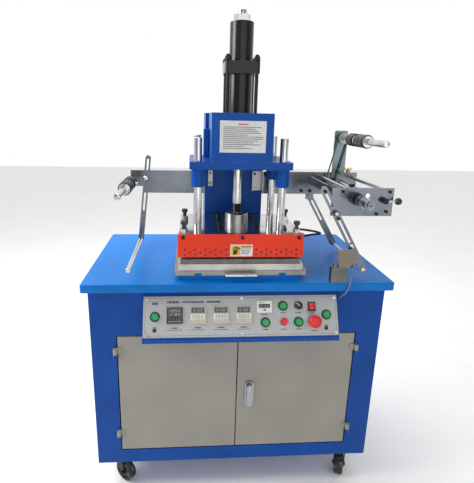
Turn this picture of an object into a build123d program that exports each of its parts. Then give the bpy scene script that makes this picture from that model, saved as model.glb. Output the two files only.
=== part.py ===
"""Floor-standing hot foil stamping press, as separate pieces, in millimetres.

Layout frame: X to the right, Y to the back, Z up, with the origin at the middle of the
tabletop's upper face. Each piece is moved by LAYOUT_SHIFT when it is written, so the
finished files have their origin on the floor under the middle of the machine's outer box.
"""

from build123d import *
import math
import os

# ---- driving dimensions ------------------------------------------------------------
TABLE_HEIGHT = 780.0
LAYOUT_SHIFT = (0.0, 30.0, TABLE_HEIGHT)

# tabletop and cabinet
TOP_HALF_WIDTH = 480.0
TOP_HALF_DEPTH = 271.5
TOP_EDGE = 26.0
TOP_SKIN = 5.0
CAB_HALF_WIDTH = 464.0
CAB_FRONT = -243.0
CAB_BACK = 245.0
CAB_BOTTOM = -665.0
SHEET = 3.0
DOOR_FRONT = CAB_FRONT - 0.5
DOOR_TOP = -187.0
DOOR_BOTTOM = -611.0
DOOR_HALF_SPAN = 382.0
DOOR_GAP = 1.5
DOOR_DEPTH = 20.0
DOOR_SKIN = 2.0
HINGE_X = 389.0
HINGE_Y = CAB_FRONT - 7.5
HINGE_LEVELS = (-245.0, -552.0)
HINGE_RADIUS = 7.0
HINGE_PIN_RADIUS = 3.5
HINGE_HALF = 20.0
LATCH_X = 42.0
LATCH_Z = -404.0

# control console, a wedge under the tabletop's front edge
CONSOLE_LEFT = -297.0
CONSOLE_RIGHT = 305.0
CONSOLE_TOP = -34.0
CONSOLE_TILT = 26.7
CONSOLE_SLOPE = 146.0
CONSOLE_LIP = 10.0
PANEL_MARGIN = 2.0
PANEL_DROP = 16.0
PANEL_HEIGHT = 122.0
PANEL_THICK = 2.5

# casters
CASTER_X = 404.0
CASTER_FRONT_Y = -176.0
CASTER_BACK_Y = 190.0
WHEEL_RADIUS = 37.5
WHEEL_WIDTH = 28.0
CASTER_TRAIL = 28.0
AXLE_RADIUS = 6.0
LEFT_CASTER_TURN = -128.0
RIGHT_CASTER_TURN = 160.0

# press frame
COLUMN_HALF_WIDTH = 103.0
COLUMN_FRONT = 40.0
COLUMN_BACK = 240.0
HEAD_HALF_WIDTH = 92.0
HEAD_FRONT = -190.0
HEAD_TOP = 498.0
FRAME_WALL = 8.0
PLATE_TOP = 355.5
PLATE_BOTTOM = 333.0
PLATE_HALF_WIDTH = 157.0
RAM_Y = -80.0
POST_X = 131.0
POST_SPREAD = 85.0
POST_RADIUS = 12.5
POST_TOP = 426.0
BUSH_RADIUS = 21.0
BUSH_BOTTOM = 278.0
RUNNING_GAP = 0.05

# cylinder
TUBE_RADIUS = 37.0
TUBE_WALL = 5.0
CAP_SIZE = 106.0
CAP_BOTTOM = 613.0
CAP_TOP = 648.0
TIE_OFFSET = 46.5
TIE_RADIUS = 5.5
STROKE_TUBE_RADIUS = 36.0
STROKE_TUBE_TOP = 761.0
ROD_RADIUS = 14.0

# ram
RAM_TOP = 145.0
RAM_THICK = 20.0
RAM_HALF_WIDTH = 188.0
RAM_FRONT = -237.0
RAM_BACK = 33.0
STAMP_FACE = 78.0
GUARD_BOTTOM = 74.0
GUARD_HALF_WIDTH = 192.0
GUARD_SHEET = 2.0

# work table
BED_TOP = 16.0
SLIDE_BOTTOM = 16.5
SLIDE_TOP = 31.0
WORK_TOP = 52.0
PAD_TOP = 67.0

# foil gear
ARM_FRONT = 44.0
ARM_BACK = 50.0
ARM_BOTTOM = 219.0
ARM_TOP = 299.0
SUPPLY_X = -352.0
SUPPLY_Z = 270.0
SHAFT_TIP = -300.0
LEFT_PIVOT_X = -310.0
LEFT_PIVOT_Z = 271.0
LEFT_LEAN = 6.3
WINDER_LEFT = 268.0
WINDER_RIGHT = 458.0
WINDER_FRONT = -234.0
DRIVE_X = 346.0
DRIVE_Z = 255.0
DRIVE_RADIUS = 18.0
NIP_X = 376.5
NIP_Z = 266.0
NIP_RADIUS = 14.0
REWIND_X = 385.0
REWIND_Z = 421.0
PULLEY_RADIUS = 17.0
BELT_RADIUS = 2.5
BELT_Y = 30.0
RIGHT_PIVOT_X = 282.0
RIGHT_PIVOT_Z = 213.0
RIGHT_LEAN = -30.0
LEVER_X = 428.0
LEVER_Z = 252.0


# ---- building blocks ---------------------------------------------------------------
def block(x, y, z):
    """Box between the low and high values given for each axis."""
    size = Box(x[1] - x[0], y[1] - y[0], z[1] - z[0])
    return Pos((x[0] + x[1]) / 2, (y[0] + y[1]) / 2, (z[0] + z[1]) / 2) * size


def bar_x(radius, x, y, z):
    """Round bar along X between x[0] and x[1]."""
    return Pos((x[0] + x[1]) / 2, y, z) * Rot(0, 90, 0) * Cylinder(radius, x[1] - x[0])


def bar_y(radius, x, y, z):
    """Round bar along Y between y[0] and y[1]."""
    return Pos(x, (y[0] + y[1]) / 2, z) * Rot(90, 0, 0) * Cylinder(radius, y[1] - y[0])


def bar_z(radius, x, y, z):
    """Round bar along Z between z[0] and z[1]."""
    return Pos(x, y, (z[0] + z[1]) / 2) * Cylinder(radius, z[1] - z[0])


def hexagon_z(across_flats, x, y, z):
    """Hexagonal prism along Z between z[0] and z[1]."""
    outline = Plane.XY.offset(z[0]) * Pos(x, y) * RegularPolygon(
        across_flats / 2, 6, major_radius=False
    )
    return extrude(outline, amount=z[1] - z[0])


def prism_x(points, x):
    """Outline in (Y, Z), filled and extruded between x[0] and x[1]."""
    face = make_face(Polyline(*points, close=True))
    return extrude(Plane.YZ.offset(x[0]) * face, amount=x[1] - x[0])


def flat_bar(width, thick, length_up, length_down, lean, x, y, z):
    """Round-ended flat bar in an XZ plane, through a pivot, leaning about Y."""
    outline = Pos(0, (length_up - length_down) / 2) * SlotOverall(
        length_up + length_down, width, rotation=90
    )
    bar = Rot(90, 0, 0) * extrude(outline, amount=thick / 2, both=True)
    return Pos(x, (y[0] + y[1]) / 2, z) * Rot(0, lean, 0) * bar


def bar_slot(width, thick, start, end, lean, x, y, z):
    """Cutter for a long slot in a leaning bar, from start to end measured up the bar."""
    outline = Pos(0, (start + end) / 2) * SlotOverall(end - start, width, rotation=90)
    cutter = Rot(90, 0, 0) * extrude(outline, amount=thick, both=True)
    return Pos(x, y, z) * Rot(0, lean, 0) * cutter


def group(solids):
    """Separate solids that share one file."""
    return Compound(children=list(solids))


def write(name, shape):
    """Moves a piece into the machine's frame and writes its file."""
    moved = Pos(*LAYOUT_SHIFT) * shape
    moved.label = name
    export_step(moved, "parts/" + name + ".step")


# ---- control panel layout ----------------------------------------------------------
SLOPE_SIN = math.sin(math.radians(CONSOLE_TILT))
SLOPE_COS = math.cos(math.radians(CONSOLE_TILT))
PANEL_LEFT = CONSOLE_LEFT + PANEL_MARGIN
PANEL_WIDTH = CONSOLE_RIGHT - CONSOLE_LEFT - 2 * PANEL_MARGIN
PANEL_FRAME = Plane(
    origin=(
        PANEL_LEFT,
        CAB_FRONT - PANEL_DROP * SLOPE_SIN - PANEL_THICK * SLOPE_COS,
        CONSOLE_TOP - PANEL_DROP * SLOPE_COS + PANEL_THICK * SLOPE_SIN,
    ),
    x_dir=(1, 0, 0),
    z_dir=(0, -SLOPE_COS, SLOPE_SIN),
).location

# each entry is the distance from the plate's left edge and down from its top edge
BUTTON_PLACES = {
    "start_button_left": (35.4, 60.2),
    "start_button_right": (562.0, 60.0),
    "feed_button": (427.0, 32.0),
    "heat_button": (371.0, 81.0),
    "stop_button": (428.0, 80.0),
    "reset_button": (474.0, 81.0),
}
ESTOP_PLACE = (522.5, 81.0)
SELECTOR_PLACE = (474.6, 32.0)
ROCKER_PLACE = (517.0, 35.5)
CONTROLLER_PLACE = (95.0, 57.0)
TIMER_PLACES = ((164.5, 56.5), (234.5, 56.5), (304.5, 56.5))
COUNTER_PLACE = (369.0, 34.0)
PANEL_SCREW_PLACES = ((9, 9), (299, 8), (589, 9), (9, 113), (299, 114), (589, 113))
BUTTON_HOLE = 12.7
BUTTON_RADIUS = 11.0
BEZEL_BORE = 11.3
INSTRUMENT = 48.0
INSTRUMENT_BODY = 44.5
ROCKER_SIZE = (24.0, 29.0)
ROCKER_TILT = 8.0


def on_panel(place, height, shape):
    """Puts a shape drawn about its own origin onto the panel, height above its face."""
    return PANEL_FRAME * Pos(place[0], -place[1], height) * shape


def panel_disc(place, radius, low, high):
    """Disc square to the panel, from low to high above its face."""
    return on_panel(place, (low + high) / 2, Cylinder(radius, high - low))


def panel_block(place, width, height, low, high):
    """Rectangular block square to the panel, from low to high above its face."""
    return on_panel(place, (low + high) / 2, Box(width, height, high - low))


# ---- cabinet -----------------------------------------------------------------------
def make_tabletop():
    top = block(
        (-TOP_HALF_WIDTH, TOP_HALF_WIDTH), (-TOP_HALF_DEPTH, TOP_HALF_DEPTH), (-TOP_EDGE, 0)
    )
    top = fillet(top.edges().filter_by(Axis.Z), 8)
    top = fillet(top.faces().sort_by(Axis.Z)[-1].edges(), 4)
    inside = block(
        (-TOP_HALF_WIDTH + SHEET, TOP_HALF_WIDTH - SHEET),
        (-TOP_HALF_DEPTH + SHEET, TOP_HALF_DEPTH - SHEET),
        (-TOP_EDGE, -TOP_SKIN),
    )
    grommet_hole = bar_z(16, CABLE_DROP[0], CABLE_DROP[1], (-TOP_EDGE, 1))
    return top - inside - grommet_hole


CONSOLE_FOOT_Y = CAB_FRONT - CONSOLE_SLOPE * SLOPE_SIN
CONSOLE_FOOT_Z = CONSOLE_TOP - CONSOLE_SLOPE * SLOPE_COS
CONSOLE_BASE = CONSOLE_FOOT_Z - CONSOLE_LIP
DOOR_CLEARANCE = 3.5


def slope_point(down, inset):
    """Point (Y, Z) a distance down the console's slope and inset square to its face."""
    y = CAB_FRONT - down * SLOPE_SIN + inset * SLOPE_COS
    z = CONSOLE_TOP - down * SLOPE_COS - inset * SLOPE_SIN
    return y, z


def slope_strip(top, bottom, x):
    """Flat strip of the console's slope between two distances down it."""
    outline = [
        slope_point(top, 0),
        slope_point(bottom, 0),
        slope_point(bottom, SHEET),
        slope_point(top, SHEET),
    ]
    return prism_x(outline, x)


def console_panels():
    """Welded sheets of the console: cheeks, base, lip and the frame around its window."""
    foot, foot_z, base = CONSOLE_FOOT_Y, CONSOLE_FOOT_Z, CONSOLE_BASE
    outline = [(CAB_FRONT, CONSOLE_TOP), (foot, foot_z), (foot, base), (CAB_FRONT, base)]
    left, right = CONSOLE_LEFT + SHEET, CONSOLE_RIGHT - SHEET
    window_top = PANEL_DROP + 6
    window_bottom = PANEL_DROP + PANEL_HEIGHT - 6
    lip_top = foot_z - 3
    corner = [
        slope_point(window_bottom, 0),
        (foot, foot_z),
        (foot, lip_top),
        (foot + SHEET, lip_top),
        slope_point(window_bottom, SHEET),
    ]
    return [
        prism_x(outline, (CONSOLE_LEFT, left)),
        prism_x(outline, (right, CONSOLE_RIGHT)),
        block((left, right), (foot, CAB_FRONT), (base, base + SHEET)),
        block((left, right), (foot, foot + SHEET), (base + SHEET, lip_top)),
        prism_x(corner, (left, right)),
        slope_strip(0, window_top, (left, right)),
        slope_strip(window_top, window_bottom, (left, left + 9)),
        slope_strip(window_top, window_bottom, (right - 9, right)),
    ]


def front_panels():
    """Front sheets around the door opening and around the console."""
    front = (CAB_FRONT, CAB_FRONT + SHEET)
    jamb = DOOR_HALF_SPAN + DOOR_CLEARANCE
    head = DOOR_TOP + DOOR_CLEARANCE
    sill = DOOR_BOTTOM - DOOR_CLEARANCE
    top = -TOP_SKIN
    return [
        block((-CAB_HALF_WIDTH, -jamb), front, (CAB_BOTTOM, top)),
        block((jamb, CAB_HALF_WIDTH), front, (CAB_BOTTOM, top)),
        block((-jamb, jamb), front, (CAB_BOTTOM, sill)),
        block((-jamb, jamb), front, (head, CONSOLE_BASE)),
        block((-jamb, CONSOLE_LEFT), front, (CONSOLE_BASE, top)),
        block((CONSOLE_RIGHT, jamb), front, (CONSOLE_BASE, top)),
        block((CONSOLE_LEFT, CONSOLE_RIGHT), front, (CONSOLE_TOP, top)),
    ]


def make_cabinet():
    """Welded sheet cabinet with its console and the fixed halves of the door hinges."""
    half, inner = CAB_HALF_WIDTH, CAB_HALF_WIDTH - SHEET
    depth = (CAB_FRONT + SHEET, CAB_BACK)
    height = (CAB_BOTTOM, -TOP_SKIN)
    back = block((-inner, inner), (CAB_BACK - SHEET, CAB_BACK), height)
    for louvre in range(6):
        low = -300.0 - 22.0 * louvre
        back -= block((-90, 90), (CAB_BACK - SHEET - 1, CAB_BACK + 1), (low, low + 8))
    back -= bar_y(10, INLET_X, (CAB_BACK - SHEET - 1, CAB_BACK + 1), INLET_Z)
    floor = block((-inner, inner), (depth[0], CAB_BACK - SHEET), (CAB_BOTTOM, CAB_BOTTOM + SHEET))
    sheets = [back, floor, block((-half, -inner), depth, height), block((inner, half), depth, height)]
    hinges = []
    for side in (-1, 1):
        for level in HINGE_LEVELS:
            pin_height = (level - 1, level + HINGE_HALF - 1)
            pin = bar_z(HINGE_PIN_RADIUS, side * HINGE_X, HINGE_Y, pin_height)
            hinges.append(hinge_half(side, level - HINGE_HALF, level) + pin)
    return group(sheets + front_panels() + console_panels() + hinges)


def hinge_half(side, low, high):
    """Fixed half of a lift-off hinge: a barrel and the leaf welded to the cabinet."""
    barrel = bar_z(HINGE_RADIUS, side * HINGE_X, HINGE_Y, (low, high))
    outer = sorted((side * HINGE_X, side * (HINGE_X + 12)))
    leaf = block(outer, (CAB_FRONT - 3, CAB_FRONT), (low, high))
    return barrel + leaf


def make_door(side):
    """Folded door pan with its two upper hinge barrels; side is -1 left, 1 right."""
    span = sorted((side * DOOR_GAP, side * DOOR_HALF_SPAN))
    pan = block(span, (DOOR_FRONT, DOOR_FRONT + DOOR_DEPTH), (DOOR_BOTTOM, DOOR_TOP))
    pan = fillet(pan.faces().sort_by(Axis.Y)[0].edges(), 1.5)
    pan -= block(
        (span[0] + DOOR_SKIN, span[1] - DOOR_SKIN),
        (DOOR_FRONT + DOOR_SKIN, DOOR_FRONT + DOOR_DEPTH + 1),
        (DOOR_BOTTOM + DOOR_SKIN, DOOR_TOP - DOOR_SKIN),
    )
    for level in HINGE_LEVELS:
        low, high = level + 0.5, level + HINGE_HALF
        pan += bar_z(HINGE_RADIUS, side * HINGE_X, HINGE_Y, (low, high))
        inward = sorted((side * (HINGE_X - 20), side * HINGE_X))
        pan += block(inward, (DOOR_FRONT - 3, DOOR_FRONT), (low, high))
        bore = HINGE_PIN_RADIUS + RUNNING_GAP
        pan -= bar_z(bore, side * HINGE_X, HINGE_Y, (low - 1, high - 0.8))
    return pan


def make_right_door():
    """Right door with the latch's escutcheon and bush screwed to it."""
    pan = make_door(1) - bar_y(9, LATCH_X, (DOOR_FRONT - 1, DOOR_FRONT + DOOR_SKIN + 1), LATCH_Z)
    plate = oval(31, 97, (DOOR_FRONT - 6, DOOR_FRONT), LATCH_X, LATCH_Z)
    plate = fillet(plate.faces().sort_by(Axis.Y)[0].edges(), 2)
    plate += bar_y(8.8, LATCH_X, (DOOR_FRONT, DOOR_FRONT + 12), LATCH_Z)
    bore = bar_y(6 + RUNNING_GAP, LATCH_X, (DOOR_FRONT - 10, DOOR_FRONT + 14), LATCH_Z)
    return group([pan, plate - bore])


def oval(width, height, y, x, z):
    """Upright oval plate in an XZ plane between y[0] and y[1]."""
    outline = SlotOverall(height, width, rotation=90)
    plate = Rot(90, 0, 0) * extrude(outline, amount=(y[1] - y[0]) / 2, both=True)
    return Pos(x, (y[0] + y[1]) / 2, z) * plate


def make_door_latch():
    """Turning handle, spindle and locking cam, which turn as one."""
    handle = oval(20, 84, (DOOR_FRONT - 17, DOOR_FRONT - 7), LATCH_X, LATCH_Z)
    handle = fillet(handle.faces().sort_by(Axis.Y)[0].edges(), 3)
    back = DOOR_FRONT + DOOR_DEPTH
    spindle = bar_y(6, LATCH_X, (DOOR_FRONT - 8, back + 4), LATCH_Z)
    cam = block((LATCH_X - 9, LATCH_X + 9), (back + 1, back + 4), (LATCH_Z - 58, LATCH_Z + 9))
    return handle + spindle + cam


# ---- casters -----------------------------------------------------------------------
FORK_TOP = CAB_BOTTOM - 13.0
WHEEL_Z = -TABLE_HEIGHT + WHEEL_RADIUS


def caster_mount(x, y):
    """Top plate with the swivel race and the kingpin, bolted under the cabinet."""
    plate = block((x - 42, x + 42), (y - 33, y + 33), (CAB_BOTTOM - 4, CAB_BOTTOM))
    plate = fillet(plate.edges().filter_by(Axis.Z), 8)
    race = bar_z(27, x, y, (FORK_TOP + 0.5, CAB_BOTTOM - 4))
    kingpin = bar_z(7, x, y, (FORK_TOP - 8, FORK_TOP + 1))
    head = bar_z(11, x, y, (FORK_TOP - 11, FORK_TOP - 5.5))
    return plate + race + kingpin + head


def fork_shape():
    """Fork about its own kingpin, trailing towards +Y, with its riveted axle."""
    crown = bar_z(26, 0, 0, (FORK_TOP - 5, FORK_TOP))
    legs = None
    leg_outline = [
        (-14, FORK_TOP),
        (24, FORK_TOP),
        (CASTER_TRAIL + 12, WHEEL_Z + 2),
        (CASTER_TRAIL + 6, WHEEL_Z - 11),
        (CASTER_TRAIL - 8, WHEEL_Z - 11),
    ]
    inner = WHEEL_WIDTH / 2 + 2
    for x in ((-inner - 3, -inner), (inner, inner + 3)):
        leg = prism_x(leg_outline, x)
        legs = leg if legs is None else legs + leg
    bridge = block((-inner, inner), (-14, 24), (FORK_TOP - 3, FORK_TOP))
    axle = bar_x(AXLE_RADIUS, (-inner - 7, inner + 7), CASTER_TRAIL, WHEEL_Z)
    kingpin_hole = bar_z(7 + RUNNING_GAP, 0, 0, (FORK_TOP - 20, FORK_TOP + 5))
    return crown + legs + bridge + axle - kingpin_hole


def wheel_shape():
    """Wheel about its own kingpin axis: a rubber tyre on a hub with a plain bore."""
    half = WHEEL_WIDTH / 2
    wheel = bar_x(WHEEL_RADIUS, (-half, half), CASTER_TRAIL, WHEEL_Z)
    wheel = fillet(wheel.edges().filter_by(GeomType.CIRCLE), 5)
    for x in ((-half - 1, -half + 5), (half - 5, half + 1)):
        wheel -= bar_x(26, x, CASTER_TRAIL, WHEEL_Z) - bar_x(12, x, CASTER_TRAIL, WHEEL_Z)
    return wheel - bar_x(AXLE_RADIUS + RUNNING_GAP, (-half - 2, half + 2), CASTER_TRAIL, WHEEL_Z)


CASTER_PLACES = {
    "front_left": (-CASTER_X, CASTER_FRONT_Y, LEFT_CASTER_TURN),
    "front_right": (CASTER_X, CASTER_FRONT_Y, RIGHT_CASTER_TURN),
    "rear_left": (-CASTER_X, CASTER_BACK_Y, 180.0),
    "rear_right": (CASTER_X, CASTER_BACK_Y, 180.0),
}


# ---- press frame -------------------------------------------------------------------
def make_press_frame():
    """Column and head, two hollow boxes welded together, with the side terminal box."""
    wall = FRAME_WALL
    half, inner = COLUMN_HALF_WIDTH, COLUMN_HALF_WIDTH - FRAME_WALL
    column = block((-half, half), (COLUMN_FRONT, COLUMN_BACK), (0, HEAD_TOP))
    column -= block(
        (-inner, inner), (COLUMN_FRONT + wall, COLUMN_BACK - wall), (wall, HEAD_TOP - wall)
    )
    half, inner = HEAD_HALF_WIDTH, HEAD_HALF_WIDTH - FRAME_WALL
    head = block((-half, half), (HEAD_FRONT, COLUMN_FRONT), (PLATE_TOP, HEAD_TOP))
    head -= block(
        (-inner, inner), (HEAD_FRONT + wall, COLUMN_FRONT - wall), (PLATE_TOP + wall, HEAD_TOP - wall)
    )
    head -= bar_z(ROD_RADIUS + 3, 0, RAM_Y, (PLATE_TOP - 1, PLATE_TOP + wall + 1))
    head -= bar_z(TUBE_RADIUS - TUBE_WALL, 0, RAM_Y, (HEAD_TOP - wall - 1, HEAD_TOP + 1))
    side_box = block((-half - 19, -half), (-42, 18), (358, 446))
    side_box = fillet(side_box.edges().filter_by(Axis.Z), 3)
    return group([column, head, side_box] + limit_brackets())


def post_places():
    """Centres of the four guide posts in (X, Y)."""
    for x in (-POST_X, POST_X):
        for y in (RAM_Y - POST_SPREAD, RAM_Y + POST_SPREAD):
            yield x, y


def make_head_plate():
    """Plate under the head, with the four guide bushes pressed up against it."""
    plate = block(
        (-PLATE_HALF_WIDTH, PLATE_HALF_WIDTH), (HEAD_FRONT, COLUMN_FRONT), (PLATE_BOTTOM, PLATE_TOP)
    )
    plate = fillet(plate.edges().filter_by(Axis.Z), 4)
    plate -= bar_z(ROD_RADIUS + 3, 0, RAM_Y, (PLATE_BOTTOM - 1, PLATE_TOP + 1))
    for x, y in post_places():
        plate -= bar_z(POST_RADIUS + 1, x, y, (PLATE_BOTTOM - 1, PLATE_TOP + 1))
    bushes = [plate]
    for x, y in post_places():
        bush = bar_z(BUSH_RADIUS, x, y, (BUSH_BOTTOM, PLATE_BOTTOM))
        bush = chamfer(bush.edges().sort_by(Axis.Z)[0], 1.5)
        bore = bar_z(POST_RADIUS + RUNNING_GAP, x, y, (BUSH_BOTTOM - 1, PLATE_BOTTOM + 1))
        bushes.append(bush - bore)
    return group(bushes)


def limit_brackets():
    """Steel strip and steel channel on the column that carry the ram's limit switches."""
    strip = block((-91, -76), (COLUMN_FRONT - 4, COLUMN_FRONT), (247, 302))
    channel = block((64, 104), (COLUMN_FRONT - 22, COLUMN_FRONT), (232, 301))
    channel -= block((67, 101), (COLUMN_FRONT - 23, COLUMN_FRONT - 3), (231, 302))
    heads = []
    for x, z in ((-83.5, 293), (-83.5, 257)):
        heads.append(bar_y(4.5, x, (COLUMN_FRONT - 8, COLUMN_FRONT - 4), z))
    for z in (292, 240):
        heads.append(bar_y(4.5, 75, (COLUMN_FRONT - 7, COLUMN_FRONT - 3), z))
    return [strip, channel] + heads


def make_cylinder():
    """Cylinder barrel, upper end cap and stroke-limiter housing."""
    barrel = bar_z(TUBE_RADIUS, 0, RAM_Y, (HEAD_TOP, CAP_BOTTOM))
    barrel -= bar_z(TUBE_RADIUS - TUBE_WALL, 0, RAM_Y, (HEAD_TOP - 1, CAP_BOTTOM + 1))
    half = CAP_SIZE / 2
    cap = block((-half, half), (RAM_Y - half, RAM_Y + half), (CAP_BOTTOM, CAP_TOP))
    cap = fillet(cap.edges().filter_by(Axis.Z), 10)
    cap = chamfer(cap.faces().sort_by(Axis.Z)[-1].edges(), 2)
    cap -= bar_z(12, 0, RAM_Y, (CAP_BOTTOM - 1, CAP_TOP + 1))
    for x, y in tie_places():
        cap -= bar_z(TIE_RADIUS + 0.1, x, y, (CAP_BOTTOM - 1, CAP_TOP + 1))
    housing = bar_z(STROKE_TUBE_RADIUS, 0, RAM_Y, (CAP_TOP, STROKE_TUBE_TOP))
    housing = fillet(housing.faces().sort_by(Axis.Z)[-1].edges(), 2.5)
    housing -= bar_z(
        STROKE_TUBE_RADIUS - 6, 0, RAM_Y, (CAP_TOP - 1, STROKE_TUBE_TOP - 12)
    )
    housing -= bar_z(10 + RUNNING_GAP, 0, RAM_Y, (CAP_TOP, STROKE_TUBE_TOP + 1))
    housing -= bar_x(3, (-50, -20), RAM_Y - 18, STROKE_TUBE_TOP - 24)
    return group([barrel, cap, housing])


def tie_places():
    """Centres of the four tie rods in (X, Y)."""
    for x in (-TIE_OFFSET + 3, TIE_OFFSET - 3):
        for y in (RAM_Y - TIE_OFFSET + 3, RAM_Y + TIE_OFFSET - 3):
            yield x, y


def make_tie_rods():
    """Tie rods with a washer and a domed nut on top of the end cap."""
    rods = []
    for x, y in tie_places():
        rod = bar_z(TIE_RADIUS, x, y, (HEAD_TOP, CAP_TOP + 8))
        washer = bar_z(9.5, x, y, (CAP_TOP, CAP_TOP + 2))
        nut = hexagon_z(16, x, y, (CAP_TOP + 2, CAP_TOP + 12))
        dome = Pos(x, y, CAP_TOP + 12) * Sphere(7)
        rods.append(rod + washer + nut + dome)
    return group(rods)


def make_stroke_adjuster():
    """Threaded stop with its hexagon, lock nut and round cap."""
    stem = bar_z(10, 0, RAM_Y, (STROKE_TUBE_TOP - 40, STROKE_TUBE_TOP + 34))
    stop = bar_z(16, 0, RAM_Y, (STROKE_TUBE_TOP - 44, STROKE_TUBE_TOP - 34))
    hexagon = hexagon_z(44, 0, RAM_Y, (STROKE_TUBE_TOP + 0.5, STROKE_TUBE_TOP + 20))
    cap = bar_z(13.5, 0, RAM_Y, (STROKE_TUBE_TOP + 20, STROKE_TUBE_TOP + 35))
    cap = fillet(cap.faces().sort_by(Axis.Z)[-1].edges(), 4)
    return stem + stop + hexagon + cap


# ---- ram ---------------------------------------------------------------------------
def make_ram_plate():
    plate = block(
        (-RAM_HALF_WIDTH, RAM_HALF_WIDTH), (RAM_FRONT, RAM_BACK), (RAM_TOP - RAM_THICK, RAM_TOP)
    )
    plate = fillet(plate.edges().filter_by(Axis.Z), 3)
    return chamfer(plate.faces().sort_by(Axis.Z)[-1].edges(), 1)


def make_guide_posts():
    posts = []
    for x, y in post_places():
        post = bar_z(POST_RADIUS, x, y, (RAM_TOP, POST_TOP))
        posts.append(chamfer(post.edges().sort_by(Axis.Z)[-1], 1.5))
    return group(posts)


def make_piston_rod():
    """Piston rod, its piston inside the barrel and the flange that joins it to the ram."""
    rod = bar_z(ROD_RADIUS, 0, RAM_Y, (RAM_TOP + 33, HEAD_TOP + 6))
    piston = bar_z(TUBE_RADIUS - TUBE_WALL - 0.1, 0, RAM_Y, (HEAD_TOP + 2, HEAD_TOP + 24))
    flange = bar_z(38, 0, RAM_Y, (RAM_TOP, RAM_TOP + 33))
    flange = chamfer(flange.faces().sort_by(Axis.Z)[-1].edges(), 2)
    return group([rod + piston, flange])


def make_heater_block():
    """Insulating board, heated block with six cartridge heaters, and the die plate."""
    x, y = (-180, 180), (RAM_FRONT + 6, RAM_BACK - 6)
    board = block(x, y, (117, RAM_TOP - RAM_THICK))
    heated = block(x, y, (88, 117))
    heaters = []
    for step in range(6):
        place_y = y[0] + 30 + step * 39
        heated -= bar_x(6, (-181, 181), place_y, 102)
        heaters.append(bar_x(6, (-184, 178), place_y, 102))
    die_plate = block(x, y, (STAMP_FACE, 88))
    gland = bar_x(7.5, (180, HEATER_CABLE_POINTS[0][0]), -24, 104)
    return group([board, heated, die_plate, gland] + heaters)


def make_guard():
    """Perforated finger guard, bent back at both ends."""
    front = RAM_FRONT - GUARD_SHEET
    wide = GUARD_HALF_WIDTH
    sheet = block((-wide, wide), (front, RAM_FRONT + 22), (GUARD_BOTTOM, RAM_TOP + 1))
    sheet = fillet(sheet.edges().filter_by(Axis.Z), 2.5)
    sheet -= block(
        (-wide + GUARD_SHEET, wide - GUARD_SHEET), (RAM_FRONT, RAM_FRONT + 40), (0, RAM_TOP + 9)
    )
    for side in (-1, 1):
        for step in range(5):
            for z in (82, 98):
                sheet -= bar_y(3, side * (46 + 31 * step), (front - 1, RAM_FRONT + 1), z)
        for step in range(4):
            sheet -= bar_y(3, side * (61.5 + 31 * step), (front - 1, RAM_FRONT + 1), 90)
    return sheet


def make_ram_bolts():
    """Guard screws and the four cap screws that clamp the flange."""
    bolts = []
    for x in (-175, 3, 176):
        bolts.append(bar_y(5.5, x, (RAM_FRONT - GUARD_SHEET - 5, RAM_FRONT - GUARD_SHEET), 136))
    for x in (-57, 57):
        for y in (RAM_Y - 58, RAM_Y + 58):
            bolt = bar_z(8, x, y, (RAM_TOP, RAM_TOP + 13))
            bolts.append(bolt - hexagon_z(7, x, y, (RAM_TOP + 7, RAM_TOP + 14)))
    return group(bolts)


def make_levelling_screws():
    """Four levelling screws: chrome hexagon, black stem and knob."""
    screws = []
    for x in (-173, 170):
        for y in (RAM_FRONT + 14, -60):
            nut = hexagon_z(19, x, y, (RAM_TOP, RAM_TOP + 15))
            stem = bar_z(6, x, y, (RAM_TOP + 15, RAM_TOP + 28))
            knob = bar_z(10, x, y, (RAM_TOP + 28, RAM_TOP + 39))
            knob = fillet(knob.edges().filter_by(GeomType.CIRCLE), 2.5)
            screws.append(nut + stem + knob)
    return group(screws)


# ---- work table --------------------------------------------------------------------
def make_table_bed():
    bed = block((-180, 184), (-241, 33), (0, BED_TOP))
    for x in (-130, 130):
        bed += block((x - 10, x + 10), (-241, 33), (BED_TOP - 1, BED_TOP + 8))
    return bed


def make_slide_plate():
    """Sliding plate with its pull handle."""
    plate = block((-202, 206), (-243, 33), (SLIDE_BOTTOM, SLIDE_TOP))
    plate = fillet(plate.edges().filter_by(Axis.Z), 3)
    for x in (-130, 130):
        plate -= block((x - 10.5, x + 10.5), (-250, 40), (0, BED_TOP + 8.5))
    handle = bar_x(4.5, (-48, 50), -259, 22.5)
    handle = fillet(handle.edges().filter_by(GeomType.CIRCLE), 2)
    for x in (-38, 40):
        handle += bar_y(4, x, (-259, -242.5), 22.5)
    return plate + handle


def make_work_plate():
    plate = block((-192, 194), (-240, 28), (SLIDE_TOP, WORK_TOP))
    plate = fillet(plate.edges().filter_by(Axis.Z), 2)
    for x in (-172, 174):
        for y in (-222, 10):
            plate -= bar_z(6, x, y, (WORK_TOP - 5, WORK_TOP + 1))
    return plate


def make_work_pad():
    pad = block((-183, 185), (-238, 22), (WORK_TOP, PAD_TOP))
    return fillet(pad.edges().filter_by(Axis.Z), 2)


# ---- controls ----------------------------------------------------------------------
def make_control_panel():
    panel = on_panel(
        (PANEL_WIDTH / 2, PANEL_HEIGHT / 2),
        -PANEL_THICK / 2,
        Box(PANEL_WIDTH, PANEL_HEIGHT, PANEL_THICK),
    )
    for place in list(BUTTON_PLACES.values()) + [ESTOP_PLACE, SELECTOR_PLACE]:
        panel -= panel_disc(place, BUTTON_HOLE, -PANEL_THICK - 1, 1)
    for place in [CONTROLLER_PLACE, COUNTER_PLACE] + list(TIMER_PLACES):
        wide, high = instrument_body(place)
        panel -= panel_block(place, wide + 0.6, high + 0.6, -PANEL_THICK - 1, 1)
    panel -= panel_block(ROCKER_PLACE, 20.6, 26.6, -PANEL_THICK - 1, 1)
    return panel


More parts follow.
